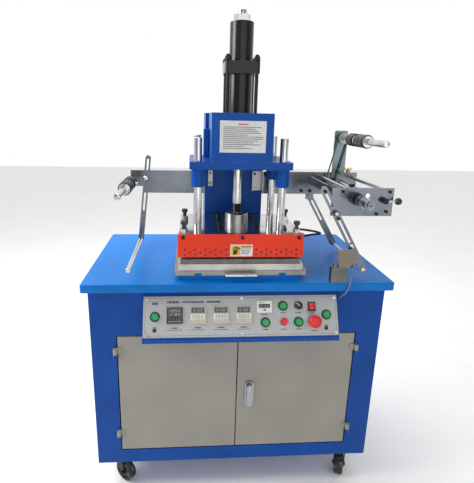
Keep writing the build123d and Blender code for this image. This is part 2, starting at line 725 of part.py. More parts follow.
def instrument_body(place):
    """Width and height of the part of an instrument that passes through the panel."""
    if place == COUNTER_PLACE:
        return 42.0, 32.0
    return INSTRUMENT_BODY, INSTRUMENT_BODY


def instrument(place, wide, high, depth):
    """Panel instrument: a bezel on the face, and a body behind it."""
    bezel = panel_block(place, wide, high, 0, 6)
    bezel = fillet(bezel.edges(), 1.2)
    body_wide, body_high = instrument_body(place)
    body = panel_block(place, body_wide, body_high, -depth, 1)
    return bezel + body


def make_panel_instruments():
    parts = [instrument(CONTROLLER_PLACE, INSTRUMENT, INSTRUMENT, 60)]
    for place in TIMER_PLACES:
        parts.append(instrument(place, INSTRUMENT, INSTRUMENT + 3, 60))
    parts.append(instrument(COUNTER_PLACE, 46, 36, 45))
    return group(parts)


def bezel(place, outer):
    """Push-button collar with its barrel and contact block behind the panel."""
    ring = panel_disc(place, outer, 0, 5)
    ring = fillet(ring.edges(), 1.5)
    barrel = panel_disc(place, BUTTON_HOLE - 0.2, -15, 1)
    blocks = panel_block(place, 27, 30, -40, -15)
    return ring + barrel + blocks - panel_disc(place, BEZEL_BORE, -15, 6)


def make_button_bezels():
    parts = []
    for place in BUTTON_PLACES.values():
        parts.append(bezel(place, 15))
    parts.append(bezel(ESTOP_PLACE, 17))
    parts.append(bezel(SELECTOR_PLACE, 15))
    frame = panel_block(ROCKER_PLACE, ROCKER_SIZE[0], ROCKER_SIZE[1], 0, 3)
    frame += panel_block(ROCKER_PLACE, 20, 26, -22, 1)
    frame -= panel_block(ROCKER_PLACE, 17, 23, -14, 4)
    for offset in (-8.5, 8.5):
        place = (ROCKER_PLACE[0] + offset, ROCKER_PLACE[1])
        frame += on_panel(place, -1, Rot(0, 90, 0) * Cylinder(1.5, 3))
    parts.append(frame)
    return group(parts)


def make_push_button(place):
    cap = panel_disc(place, BUTTON_RADIUS, -9, 9)
    return fillet(cap.faces().sort_by(Axis.Y)[0].edges(), 1.5)


def make_emergency_stop():
    stem = panel_disc(ESTOP_PLACE, 8, -9, 14)
    head = panel_disc(ESTOP_PLACE, 19.5, 12, 25)
    head = fillet(head.edges(), 4)
    return stem + head


def make_selector():
    """Rotary selector: round skirt, spindle and grip bar, turned to its right-hand stop."""
    skirt = panel_disc(SELECTOR_PLACE, 13, 5.5, 9)
    spindle = panel_disc(SELECTOR_PLACE, 8, -9, 6)
    grip = on_panel(SELECTOR_PLACE, 14, Rot(0, 0, 45) * Box(8, 25, 11))
    grip = fillet(grip.edges(), 1.5)
    return skirt + spindle + grip


def make_rocker():
    """Rocker paddle, pressed in at its lower end."""
    paddle = fillet(Box(16.2, 21.6, 8).edges().filter_by(Axis.X), 1.5)
    paddle = Pos(0, 0, 2.5) * paddle - Rot(0, 90, 0) * Cylinder(1.5 + RUNNING_GAP, 30)
    return on_panel(ROCKER_PLACE, -1, Rot(-ROCKER_TILT, 0, 0) * paddle)


# ---- foil supply, left -------------------------------------------------------------
def arm_plate(side, reach):
    """Flat arm standing out from the column's side; side is -1 or 1."""
    span = sorted((side * COLUMN_HALF_WIDTH, side * reach))
    return block(span, (ARM_FRONT, ARM_BACK), (ARM_BOTTOM, ARM_TOP))


def arm_foot(side):
    """Bolting flange of an arm, flat against the column's side."""
    inner = side * COLUMN_HALF_WIDTH
    return block(sorted((inner, inner + side * 6)), (ARM_BACK, ARM_BACK + 54), (ARM_BOTTOM, ARM_TOP))


def make_left_arm():
    """Left arm with the supply shaft's bearing and the bright strut behind it."""
    reach = 364
    plate = arm_plate(-1, reach)
    notch = block((-reach - 1, -318), (ARM_FRONT - 1, ARM_BACK + 1), (ARM_BOTTOM - 1, 243))
    bearing = bar_y(13, SUPPLY_X, (ARM_FRONT - 14, ARM_BACK + 10), SUPPLY_Z)
    plate = plate - notch + bearing
    plate -= bar_y(7 + RUNNING_GAP, SUPPLY_X, (ARM_FRONT - 20, ARM_BACK + 20), SUPPLY_Z)
    plate -= bar_y(4.05, LEFT_PIVOT_X, (ARM_FRONT - 1, ARM_BACK + 1), LEFT_PIVOT_Z)
    strut_y = (ARM_BACK + 12, ARM_BACK + 22)
    strut = block((-300, -COLUMN_HALF_WIDTH), strut_y, (ARM_BOTTOM - 3, ARM_BOTTOM + 17))
    standoff = bar_y(6, -250, (ARM_BACK, ARM_BACK + 12), ARM_BOTTOM + 7)
    return group([plate, arm_foot(-1) - strut, strut, standoff])


def roll_shaft(x, z, rear):
    """Foil roll shaft: thin journal, two clamping collars, thick outer end."""
    shaft = bar_y(7, x, (-150, rear), z)
    shaft += bar_y(10, x, (SHAFT_TIP, -150), z)
    for y in ((-88, -40), (-178, -104)):
        collar = bar_y(20, x, y, z)
        shaft += fillet(collar.edges().filter_by(GeomType.CIRCLE), 3)
    shaft += bar_y(15, x, (-104, -88), z)
    return shaft


def make_left_swing_bar():
    """Flat bar on the arm's back with its guide rod and pivot pin."""
    y = (ARM_BACK + 0.5, ARM_BACK + 5.5)
    bar = flat_bar(19, 5, 80, 236, LEFT_LEAN, LEFT_PIVOT_X, y, LEFT_PIVOT_Z)
    bar -= bar_slot(7, 5, 24, 68, LEFT_LEAN, LEFT_PIVOT_X, y[0] + 2.5, LEFT_PIVOT_Z)
    bar -= bar_slot(7, 5, -120, -30, LEFT_LEAN, LEFT_PIVOT_X, y[0] + 2.5, LEFT_PIVOT_Z)
    pin = bar_y(4, LEFT_PIVOT_X, (ARM_FRONT - 5, ARM_BACK + 5.5), LEFT_PIVOT_Z)
    head = bar_y(7, LEFT_PIVOT_X, (ARM_FRONT - 5, ARM_FRONT - 0.5), LEFT_PIVOT_Z)
    low_x, low_z = bar_point(LEFT_PIVOT_X, LEFT_PIVOT_Z, LEFT_LEAN, -226)
    rod = bar_y(7.5, low_x, (-276, ARM_BACK + 1), low_z)
    rod = fillet(rod.edges().sort_by(Axis.Y)[0], 2)
    return bar + pin + head + rod


def bar_point(x, z, lean, along):
    """Point on a leaning bar's centre line, along from its pivot."""
    angle = math.radians(lean)
    return x + along * math.sin(angle), z + along * math.cos(angle)


# ---- foil winder, right ------------------------------------------------------------
def make_winder_frame():
    """Rear arm, front bearing plate, side bar and tie bars of the foil winder."""
    rear = arm_plate(1, 452)
    front_y = (WINDER_FRONT, WINDER_FRONT + 4)
    front = block((WINDER_LEFT, WINDER_RIGHT), front_y, (203, 289))
    for x, z in ((DRIVE_X, DRIVE_Z), (NIP_X, NIP_Z)):
        front -= bar_y(7 + RUNNING_GAP, x, (WINDER_FRONT - 1, WINDER_FRONT + 5), z)
        rear -= bar_y(7 + RUNNING_GAP, x, (ARM_FRONT - 1, ARM_BACK + 1), z)
    x, z = RIGHT_PIVOT_X, RIGHT_PIVOT_Z
    rear += block((x - 14, x + 14), (ARM_FRONT, ARM_BACK), (z - 14, ARM_BOTTOM + 1))
    rear -= bar_y(4.05, x, (ARM_FRONT - 1, ARM_BACK + 1), z)
    side = block((WINDER_LEFT, WINDER_LEFT + 5), (WINDER_FRONT + 4, ARM_FRONT), (262, 289))
    ties = []
    for x, z in ((436, 280), (322, 281), (444, 227)):
        ties.append(bar_y(6, x, (WINDER_FRONT + 4, ARM_FRONT), z))
    front -= bar_y(4.05, LEVER_X, (WINDER_FRONT - 1, WINDER_FRONT + 5), LEVER_Z)
    front -= bar_y(4.05, RIGHT_PIVOT_X, (WINDER_FRONT - 1, WINDER_FRONT + 5), RIGHT_PIVOT_Z)
    return group([rear, arm_foot(1), front, side] + ties)


def journal_roller(x, z, radius, rear):
    """Roller between the winder's plates with its two journals."""
    roller = bar_y(radius, x, (WINDER_FRONT + 8, 16), z)
    return roller + bar_y(7, x, (WINDER_FRONT - 2, rear), z)


def belt_pulley(x, z):
    """Round-belt pulley with a half-round groove."""
    wheel = bar_y(PULLEY_RADIUS + 2, x, (BELT_Y - 6, BELT_Y + 6), z)
    half = BELT_RADIUS + 0.35
    groove = Pos(x, BELT_Y, z) * Rot(90, 0, 0) * Torus(PULLEY_RADIUS, half)
    rim = bar_y(PULLEY_RADIUS + 4, x, (BELT_Y - half, BELT_Y + half), z)
    core = bar_y(PULLEY_RADIUS, x, (BELT_Y - 8, BELT_Y + 8), z)
    return wheel - groove - (rim - core)


def make_drive_roller():
    """Rubber drive roller, its belt pulley, and the hand wheel and clutch in front."""
    roller = journal_roller(DRIVE_X, DRIVE_Z, DRIVE_RADIUS, ARM_BACK + 12)
    roller += belt_pulley(DRIVE_X, DRIVE_Z)
    steps = ((-242, -236, 20), (-262, -242, 18), (-276, -262, 17), (-318, -276, 14), (-326, -318, 15))
    for low, high, radius in steps:
        roller += bar_y(radius, DRIVE_X, (low, high), DRIVE_Z)
    nose = bar_y(9, DRIVE_X, (-331.5, -326), DRIVE_Z)
    return roller + nose


def make_drive_belt():
    """Round belt in a closed loop around the two pulleys."""
    offset_x = REWIND_X - DRIVE_X
    offset_z = REWIND_Z - DRIVE_Z
    length = math.hypot(offset_x, offset_z)
    lean = math.degrees(math.atan2(offset_x, offset_z))
    overall = length + 2 * PULLEY_RADIUS
    loop = Pos(0, length / 2) * SlotOverall(overall, 2 * PULLEY_RADIUS, rotation=90)
    path = loop.faces()[0].outer_wire()
    profile = Plane(origin=path @ 0, z_dir=path % 0) * Circle(BELT_RADIUS)
    belt = sweep(profile, path=path)
    return Pos(DRIVE_X, BELT_Y, DRIVE_Z) * Rot(0, lean, 0) * Rot(90, 0, 0) * belt


def make_upright_arm():
    """Post that carries the rewind shaft's bearing."""
    post = block((356, 402), (ARM_FRONT - 6, ARM_FRONT), (ARM_TOP - 19, 447))
    post = fillet(post.edges().filter_by(Axis.Y).sort_by(Axis.Z)[-2:], 6)
    bearing = bar_y(13, REWIND_X, (ARM_FRONT - 6, ARM_FRONT + 12), REWIND_Z)
    post = post + bearing
    return post - bar_y(7 + RUNNING_GAP, REWIND_X, (ARM_FRONT - 20, ARM_FRONT + 20), REWIND_Z)


def make_rewind_shaft():
    """Rewind shaft with its collars and belt pulley."""
    shaft = roll_shaft(REWIND_X, REWIND_Z, ARM_FRONT + 16)
    return shaft + belt_pulley(REWIND_X, REWIND_Z)


def make_right_swing_frame():
    """Two slotted bars joined by the guide rod, with the clamp knob in front."""
    front_y = (WINDER_FRONT - 5.5, WINDER_FRONT - 0.5)
    rear_y = (ARM_BACK + 0.5, ARM_BACK + 5.5)
    bars = None
    for y in (front_y, rear_y):
        bar = flat_bar(22, 5, 92, 222, RIGHT_LEAN, RIGHT_PIVOT_X, y, RIGHT_PIVOT_Z)
        bar -= bar_slot(7, 5, -110, -22, RIGHT_LEAN, RIGHT_PIVOT_X, y[0] + 2.5, RIGHT_PIVOT_Z)
        bar -= bar_slot(7, 5, 22, 74, RIGHT_LEAN, RIGHT_PIVOT_X, y[0] + 2.5, RIGHT_PIVOT_Z)
        bars = bar if bars is None else bars + bar
    low_x, low_z = bar_point(RIGHT_PIVOT_X, RIGHT_PIVOT_Z, RIGHT_LEAN, -210)
    bars += bar_y(3.5, low_x, (front_y[0] - 4, rear_y[1] + 4), low_z)
    knob = bar_y(8, RIGHT_PIVOT_X, (front_y[0] - 12, front_y[0]), RIGHT_PIVOT_Z)
    knob = fillet(knob.edges().sort_by(Axis.Y)[0], 2)
    pin = bar_y(4, RIGHT_PIVOT_X, (front_y[0] - 1, WINDER_FRONT + 8), RIGHT_PIVOT_Z)
    pin += bar_y(4, RIGHT_PIVOT_X, (ARM_FRONT - 5, rear_y[1]), RIGHT_PIVOT_Z)
    head = bar_y(7, RIGHT_PIVOT_X, (ARM_FRONT - 5, ARM_FRONT - 0.5), RIGHT_PIVOT_Z)
    return bars + knob + pin + head


def make_pressure_lever():
    """Nip-release lever with its ball knob."""
    hub = bar_y(9, LEVER_X, (WINDER_FRONT - 18, WINDER_FRONT - 0.5), LEVER_Z)
    pin = bar_y(4, LEVER_X, (WINDER_FRONT - 2, WINDER_FRONT + 10), LEVER_Z)
    rod = bar_x(3.5, (LEVER_X, LEVER_X + 36), WINDER_FRONT - 12.5, LEVER_Z - 1)
    ball = Pos(LEVER_X + 40, WINDER_FRONT - 12.5, LEVER_Z - 1) * Sphere(11)
    return hub + pin + rod + ball


def make_drive_motor():
    """Small gear motor behind the rear arm."""
    box = block((DRIVE_X - 27, DRIVE_X + 27), (ARM_BACK + 14, ARM_BACK + 46), (228, 282))
    box = fillet(box.edges().filter_by(Axis.Y), 5)
    can = bar_y(22, DRIVE_X, (ARM_BACK + 46, ARM_BACK + 100), DRIVE_Z)
    spacers = None
    for x in (-20, 20):
        for z in (-20, 20):
            spacer = bar_y(4, DRIVE_X + x, (ARM_BACK, ARM_BACK + 15), DRIVE_Z + z)
            spacers = spacer if spacers is None else spacers + spacer
    box -= bar_y(7.5, DRIVE_X, (ARM_BACK + 13, ARM_BACK + 15), DRIVE_Z)
    return box + can + spacers


# ---- sensor, cables and what is inside the cabinet ---------------------------------
SENSOR_FRONT = -268.0
SENSOR_BACK = -248.0
HEATER_CABLE_RADIUS = 4.0
CABLE_DROP = (266.0, 99.0)
HEATER_CABLE_POINTS = [
    (193.0, -24.0, 104.0),
    (225.0, -24.0, 104.0),
    (258.0, -25.0, 101.0),
    (290.0, -22.0, 95.0),
    (315.0, -10.0, 86.0),
    (325.0, 14.0, 76.0),
    (313.0, 37.0, 67.0),
    (292.0, 52.0, 60.0),
    (275.0, 70.0, 48.0),
    (267.0, 90.0, 24.0),
    (266.0, 99.0, -10.0),
    (266.5, 98.0, -58.0),
    (266.0, 99.0, -106.0),
]
SENSOR_CABLE_RADIUS = 1.8
SENSOR_CABLE_POINTS = [
    (341.0, -258.0, 47.4),
    (343.0, -261.0, 34.0),
    (341.0, -267.0, 20.0),
    (337.0, -273.5, 7.0),
    (332.0, -277.5, -8.0),
    (327.0, -278.0, -24.0),
    (321.0, -272.0, -38.0),
    (316.0, -262.0, -49.0),
    (313.0, -252.0, -57.0),
    (312.0, -244.2, -61.0),
]


def cable(points, radius):
    """Tube along straight runs joined by arcs as large as the runs allow."""
    corners = [Vector(*point) for point in points]
    radii = []
    for before, corner, after in zip(corners, corners[1:], corners[2:]):
        run_in = corner - before
        run_out = after - corner
        turn = math.radians(run_in.get_angle(run_out))
        radii.append(0.45 * min(run_in.length, run_out.length) / math.tan(turn / 2))
    print("bend radii", [round(value) for value in radii])
    path = FilletPolyline(*corners, radius=radii)
    profile = Plane(origin=corners[0], z_dir=corners[1] - corners[0]) * Circle(radius)
    return sweep(profile, path=path)


def make_sensor_bracket():
    """Folded steel bracket on the tabletop that carries the sensor."""
    bracket = block((276, 326), (SENSOR_FRONT, SENSOR_BACK), (0, 49))
    bracket -= block((278, 327), (SENSOR_FRONT + 2, SENSOR_BACK + 1), (2, 47))
    clip = block((281, 287), (SENSOR_FRONT, SENSOR_FRONT + 10), (49, 62))
    return bracket + clip


def make_sensor_box():
    """Small switch box with a cut-off lower corner and a cable nipple."""
    outline = [(298, 49), (330, 49), (349, 68), (349, 96), (343, 102), (298, 102)]
    face = make_face(Polyline(*[(x, z) for x, z in outline], close=True))
    box = extrude(Plane.XZ.offset(-SENSOR_BACK) * face, amount=SENSOR_BACK - SENSOR_FRONT)
    box = fillet(box.edges().filter_by(Axis.Y), 1.5)
    nipple = bar_z(4, 341, -258, (48, 64))
    return box + nipple


def make_power_unit():
    """Oil tank with motor, pump block and filler for the cylinder."""
    floor = CAB_BOTTOM + SHEET
    tank = block((-360, -60), (-60, 170), (floor + 14, floor + 190))
    tank = fillet(tank.edges().filter_by(Axis.Z), 12)
    feet = None
    for x in (-340, -80):
        foot = block((x - 20, x + 20), (-50, 160), (floor, floor + 14))
        feet = foot if feet is None else feet + foot
    motor = bar_z(65, -270, 55, (floor + 190, floor + 380))
    motor = fillet(motor.faces().sort_by(Axis.Z)[-1].edges(), 10)
    valve = block((-160, -90), (20, 100), (floor + 190, floor + 270))
    filler = bar_z(22, -120, 135, (floor + 190, floor + 215))
    return tank + feet + motor + valve + filler


def make_control_gear():
    """Wiring plate with contactors, relays and a transformer."""
    back = CAB_BACK - SHEET
    plate = block((70, 400), (back - 22, back - 20), (-560, -220))
    parts = [plate]
    for x in (80, 390):
        parts.append(block((x - 6, x + 6), (back - 20, back), (-520, -260)))
    for step in range(4):
        low = 95 + 72 * step
        parts.append(block((low, low + 50), (back - 92, back - 22), (-330, -255)))
    for step in range(5):
        low = 95 + 56 * step
        parts.append(block((low, low + 28), (back - 72, back - 22), (-440, -370)))
    parts.append(block((100, 200), (back - 112, back - 22), (-545, -465)))
    parts.append(block((250, 370), (back - 62, back - 22), (-540, -500)))
    return group(parts)


INLET_X = 260.0
INLET_Z = -600.0


def make_mains_gland():
    """Cable gland in the rear wall for the mains lead."""
    flange = bar_y(16, INLET_X, (CAB_BACK, CAB_BACK + 5), INLET_Z)
    nose = bar_y(12, INLET_X, (CAB_BACK + 5, CAB_BACK + 22), INLET_Z)
    barrel = bar_y(9.8, INLET_X, (CAB_BACK - 14, CAB_BACK), INLET_Z)
    nut = bar_y(15, INLET_X, (CAB_BACK - 10, CAB_BACK - SHEET), INLET_Z)
    gland = flange + nose + barrel + nut
    return gland - bar_y(5, INLET_X, (CAB_BACK - 20, CAB_BACK + 30), INLET_Z)


def make_frame_screws():
    """Screw heads on the control panel and on the two arms' feet."""
    screws = []
    for place in PANEL_SCREW_PLACES:
        screws.append(panel_disc(place, 4, 0, 2.5))
    for side in (-1, 1):
        foot = side * (COLUMN_HALF_WIDTH + 6)
        for z in (ARM_BOTTOM + 16, ARM_TOP - 16):
            screws.append(bar_x(6, sorted((foot, foot + side * 6)), ARM_BACK + 34, z))
    for x in (249, 281):
        screws.append(bar_y(6, x, (ARM_FRONT - 5, ARM_FRONT), ARM_BOTTOM + 12))
    return group(screws)


# ---- write every piece -------------------------------------------------------------
def main():
    os.makedirs("parts", exist_ok=True)
    pieces = {
        "tabletop": make_tabletop(),
        "cabinet_shell": make_cabinet(),
        "left_door": make_door(-1),
        "right_door": make_right_door(),
        "door_latch": make_door_latch(),
        "control_panel": make_control_panel(),
        "panel_instruments": make_panel_instruments(),
        "button_bezels": make_button_bezels(),
        "emergency_stop": make_emergency_stop(),
        "selector_knob": make_selector(),
        "rocker_switch": make_rocker(),
        "press_frame": make_press_frame(),
        "head_plate": make_head_plate(),
        "cylinder_body": make_cylinder(),
        "tie_rods": make_tie_rods(),
        "stroke_adjuster": make_stroke_adjuster(),
        "piston_rod": make_piston_rod(),
        "ram_plate": make_ram_plate(),
        "guide_posts": make_guide_posts(),
        "heater_block": make_heater_block(),
        "guard": make_guard(),
        "ram_bolts": make_ram_bolts(),
        "levelling_screws": make_levelling_screws(),
        "heater_cable": cable(HEATER_CABLE_POINTS, HEATER_CABLE_RADIUS),
        "table_bed": make_table_bed(),
        "slide_plate": make_slide_plate(),
        "work_plate": make_work_plate(),
        "work_pad": make_work_pad(),
        "left_arm": make_left_arm(),
        "supply_shaft": roll_shaft(SUPPLY_X, SUPPLY_Z, ARM_BACK + 16),
        "left_swing_bar": make_left_swing_bar(),
        "winder_frame": make_winder_frame(),
        "drive_roller": make_drive_roller(),
        "nip_roller": journal_roller(NIP_X, NIP_Z, NIP_RADIUS, ARM_BACK + 4),
        "drive_belt": make_drive_belt(),
        "upright_arm": make_upright_arm(),
        "rewind_shaft": make_rewind_shaft(),
        "right_swing_frame": make_right_swing_frame(),
        "pressure_lever": make_pressure_lever(),
        "drive_motor": make_drive_motor(),
        "sensor_bracket": make_sensor_bracket(),
        "sensor_box": make_sensor_box(),
        "sensor_cable": cable(SENSOR_CABLE_POINTS, SENSOR_CABLE_RADIUS),
        "power_unit": make_power_unit(),
        "control_gear": make_control_gear(),
        "mains_gland": make_mains_gland(),
        "frame_screws": make_frame_screws(),
    }
    for name, place in BUTTON_PLACES.items():
        pieces[name] = make_push_button(place)
    mounts = []
    for corner, (x, y, turn) in CASTER_PLACES.items():
        placed = Pos(x, y, 0) * Rot(0, 0, turn)
        mounts.append(caster_mount(x, y))
        pieces["wheel_" + corner] = placed * wheel_shape()
        fork = placed * fork_shape()
        if corner.startswith("front"):
            pieces["fork_" + corner] = fork
        else:
            mounts.append(fork)
    pieces["caster_mounts"] = group(mounts)
    for name, shape in pieces.items():
        write(name, shape)
    print(len(pieces), "pieces written")


main()
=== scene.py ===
import math
import random

import bmesh
import bpy
from mathutils import Matrix, Vector


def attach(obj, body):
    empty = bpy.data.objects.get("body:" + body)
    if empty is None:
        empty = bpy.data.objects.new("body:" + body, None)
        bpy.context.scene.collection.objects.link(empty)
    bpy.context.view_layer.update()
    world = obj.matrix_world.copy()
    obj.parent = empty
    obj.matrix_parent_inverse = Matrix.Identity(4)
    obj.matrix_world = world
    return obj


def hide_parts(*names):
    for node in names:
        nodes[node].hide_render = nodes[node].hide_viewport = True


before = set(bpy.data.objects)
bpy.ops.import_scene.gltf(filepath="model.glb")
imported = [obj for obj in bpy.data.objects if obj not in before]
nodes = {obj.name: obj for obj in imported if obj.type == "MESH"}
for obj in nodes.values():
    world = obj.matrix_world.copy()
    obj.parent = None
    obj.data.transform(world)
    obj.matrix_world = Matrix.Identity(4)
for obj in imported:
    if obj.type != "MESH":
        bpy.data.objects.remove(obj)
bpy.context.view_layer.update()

# Everything below is laid out in millimetres: X right, Y back, Z up from the tabletop.
SHIFT = Vector((0.0, 30.0, 780.0))
TILT = math.radians(26.7)
SIN, COS = math.sin(TILT), math.cos(TILT)
CAB_FRONT = -243.0
SHARP_EDGE = math.radians(32)
BEVEL_EDGE = math.radians(34)

# Axes that run front to back, as (x, z).
SUPPLY_AXIS = (-352, 270)
REWIND_AXIS = (385, 421)
DRIVE_AXIS = (346, 255)
SWING_PIVOT = (282, 213)
SHAFT_REACH = 15.2

# Upright axes, as (x, y).
RAM_AXIS = (0, -80)
CABLE_HOLE = (266, 99)

# Controls on the panel, as (across, down) from its top left corner.
STOP_BUTTON_AT = (428, 80)
SELECTOR_AT = (474.6, 32)
EMERGENCY_AT = (522.5, 81)
ROCKER_AT = (517, 35.5)


def row(point):
    """Layout millimetres to the row frame's metres."""
    return (Vector(point) + SHIFT) / 1000


def layout(point):
    """Row frame metres to layout millimetres."""
    return Vector(point) * 1000 - SHIFT


# ---- camera and light --------------------------------------------------------------
def aim(yaw, pitch, roll):
    """Rotation of a camera that looks along +Y, turned by yaw, pitch and roll."""
    flat = math.cos(pitch)
    forward = Vector((math.sin(yaw) * flat, math.cos(yaw) * flat, math.sin(pitch)))
    level = Vector((math.cos(yaw), -math.sin(yaw), 0))
    up = level.cross(forward)
    right = level * math.cos(roll) + up * math.sin(roll)
    top = up * math.cos(roll) - level * math.sin(roll)
    return Matrix((right, top, -forward)).transposed()


camera = bpy.data.objects.new("camera", bpy.data.cameras.new("camera"))
bpy.context.scene.collection.objects.link(camera)
camera.matrix_world = Matrix.Translation(row((-150.0, -1412.6, 486.4))) @ aim(
    math.radians(4.161), math.radians(-14.717), math.radians(1.178)
).to_4x4()
camera.data.sensor_width = 36.0
camera.data.lens = 30.54
camera.data.shift_x = 0.0344
camera.data.shift_y = -0.0356
bpy.context.scene.camera = camera
bpy.context.scene.view_settings.view_transform = "Standard"
bpy.context.scene.view_settings.look = "None"

# The sky is brighter to the back and overhead, by (axis, from, to, strength at from, at to).
SKY_RAMPS = (("Y", -0.45, 0.40, 0.34, 1.0), ("Z", 0.35, 0.95, 0.0, 0.25))
RANGE_SOCKETS = ("From Min", "From Max", "To Min", "To Max")

world = bpy.data.worlds.new("studio")
world.use_nodes = True
sky = world.node_tree
toward = sky.nodes.new("ShaderNodeTexCoord")
parts = sky.nodes.new("ShaderNodeSeparateXYZ")
sky.links.new(toward.outputs["Generated"], parts.inputs["Vector"])
glow = []
for axis, *limits in SKY_RAMPS:
    span = sky.nodes.new("ShaderNodeMapRange")
    sky.links.new(parts.outputs[axis], span.inputs["Value"])
    for key, value in zip(RANGE_SOCKETS, limits):
        span.inputs[key].default_value = value
    glow.append(span.outputs["Result"])
total = sky.nodes.new("ShaderNodeMath")
sky.links.new(glow[0], total.inputs[0])
sky.links.new(glow[1], total.inputs[1])
sky.nodes["Background"].inputs["Color"].default_value = (1, 1, 1, 1)
sky.links.new(total.outputs["Value"], sky.nodes["Background"].inputs["Strength"])
bpy.context.scene.world = world


def area_light(name, place, target, size, power, color):
    """Rectangle light, with its size in metres and its place and target in the layout."""
    data = bpy.data.lights.new(name, "AREA")
    data.shape = "RECTANGLE"
    data.size, data.size_y = size
    data.energy = power
    data.color = color
    light = bpy.data.objects.new(name, data)
    bpy.context.scene.collection.objects.link(light)
    start, end = row(place), row(target)
    turn = (end - start).to_track_quat("-Z", "Y").to_matrix().to_4x4()
    light.matrix_world = Matrix.Translation(start) @ turn


area_light("window_left", (-1900, -250, 1250), (0, 0, 0), (1.2, 1.5), 52, (1, 0.99, 0.97))
area_light("overhead_back", (-500, 900, 1900), (-100, 0, 100), (2.0, 1.2), 22, (0.98, 0.99, 1))
area_light("front_fill", (500, -2400, 500), (0, 0, -150), (2.2, 1.6), 12, (1, 1, 1))


# ---- materials ---------------------------------------------------------------------
class Tree:
    """Small helper that adds nodes to one material."""

    def __init__(self, name):
        self.material = bpy.data.materials.new(name)
        self.material.use_nodes = True
        self.nodes = self.material.node_tree.nodes
        self.shader = self.nodes["Principled BSDF"]
        self.place = self.add("ShaderNodeTexCoord").outputs["Object"]

    def add(self, kind, **values):
        node = self.nodes.new(kind)
        for key, value in values.items():
            setattr(node, key, value)
        return node

    def join(self, source, target):
        self.material.node_tree.links.new(source, target)

    def stretched(self, scale):
        node = self.add("ShaderNodeMapping")
        node.inputs["Scale"].default_value = scale
        self.join(self.place, node.inputs["Vector"])
        return node.outputs["Vector"]

    def noise(self, scale, detail=3.0, rough=0.55, stretch=None):
        node = self.add("ShaderNodeTexNoise")
        node.inputs["Scale"].default_value = scale
        node.inputs["Detail"].default_value = detail
        node.inputs["Roughness"].default_value = rough
        self.join(self.stretched(stretch) if stretch else self.place, node.inputs["Vector"])
        return node.outputs["Fac"]

    def ramp(self, source, low, high, start, end):
        node = self.add("ShaderNodeMapRange")
        self.join(source, node.inputs["Value"])
        for key, value in zip(RANGE_SOCKETS, (low, high, start, end)):
            node.inputs[key].default_value = value
        return node.outputs["Result"]

    def mix(self, factor, first, second):
        node = self.add("ShaderNodeMix", data_type="RGBA")
        self.join(factor, node.inputs["Factor"])
        for key, value in (("A", first), ("B", second)):
            socket = [s for s in node.inputs if s.name == key and s.type == "RGBA"][0]
            if isinstance(value, tuple):
                socket.default_value = (*value, 1)
            else:
                self.join(value, socket)
        return [s for s in node.outputs if s.type == "RGBA"][0]

    def maths(self, kind, first, second):
        node = self.add("ShaderNodeMath", operation=kind)
        for socket, value in zip(node.inputs, (first, second)):
            if isinstance(value, (int, float)):
                socket.default_value = value
            else:
                self.join(value, socket)
        return node.outputs["Value"]

    def bumps(self, *layers):
        """Adds bump layers, each (height, strength, depth in metres)."""
        normal = None
        for height, strength, depth in layers:
            node = self.add("ShaderNodeBump")
            node.inputs["Strength"].default_value = strength
            node.inputs["Distance"].default_value = depth
            self.join(height, node.inputs["Height"])
            if normal:
                self.join(normal, node.inputs["Normal"])
            normal = node.outputs["Normal"]
        self.join(normal, self.shader.inputs["Normal"])

    def edges(self, radius):
        """About 1 on sharp edges and 0 elsewhere."""
        rounded = self.add("ShaderNodeBevel", samples=4)
        rounded.inputs["Radius"].default_value = radius
        plain = self.add("ShaderNodeNewGeometry")
        dot = self.add("ShaderNodeVectorMath", operation="DOT_PRODUCT")
        self.join(rounded.outputs["Normal"], dot.inputs[0])
        self.join(plain.outputs["Normal"], dot.inputs[1])
        return self.ramp(dot.outputs["Value"], 0.995, 0.85, 0.0, 1.0)


def tint(color, factor):
    """The colour made darker or lighter by a factor."""
    return tuple(min(1.0, channel * factor) for channel in color)


def two_tone(tree, source, color, tone):
    """The colour, slightly darker and lighter in patches."""
    return tree.mix(
        tree.ramp(source, 0.3, 0.7, 0, 1), tint(color, 1 - tone), tint(color, 1 + tone)
    )


def paint_material(
    name, color, rough=0.32, worn=(0.35, 0.36, 0.38), peel=0.25, coat=0.25, tone=0.16
):
    """Sprayed enamel: slight orange peel, patchy tone, scuffs, and wear along its edges."""
    tree = Tree(name)
    patch = tree.noise(5.5, 4)
    scuff = tree.ramp(tree.noise(38, 8, 0.72), 0.60, 0.70, 0.0, 1.0)
    base = two_tone(tree, patch, color, tone)
    base = tree.mix(tree.maths("MULTIPLY", scuff, 0.10), base, tint(color, 1.9))
    chips = tree.ramp(tree.noise(170, 5, 0.7), 0.50, 0.62, 0.0, 1.0)
    wear = tree.maths("MULTIPLY", tree.edges(0.0012), chips)
    base = tree.mix(tree.maths("MULTIPLY", wear, 0.75), base, worn)
    tree.join(base, tree.shader.inputs["Base Color"])
    gloss = tree.ramp(tree.noise(22, 6, 0.6), 0.3, 0.7, rough - 0.06, rough + 0.10)
    tree.join(gloss, tree.shader.inputs["Roughness"])
    tree.bumps((tree.noise(420, 2), peel, 0.0002), (tree.noise(9, 2), 0.10, 0.0008))
    tree.shader.inputs["Coat Weight"].default_value = coat
    tree.shader.inputs["Coat Roughness"].default_value = 0.16
    tree.shader.inputs["Specular IOR Level"].default_value = 0.16
    return tree.material


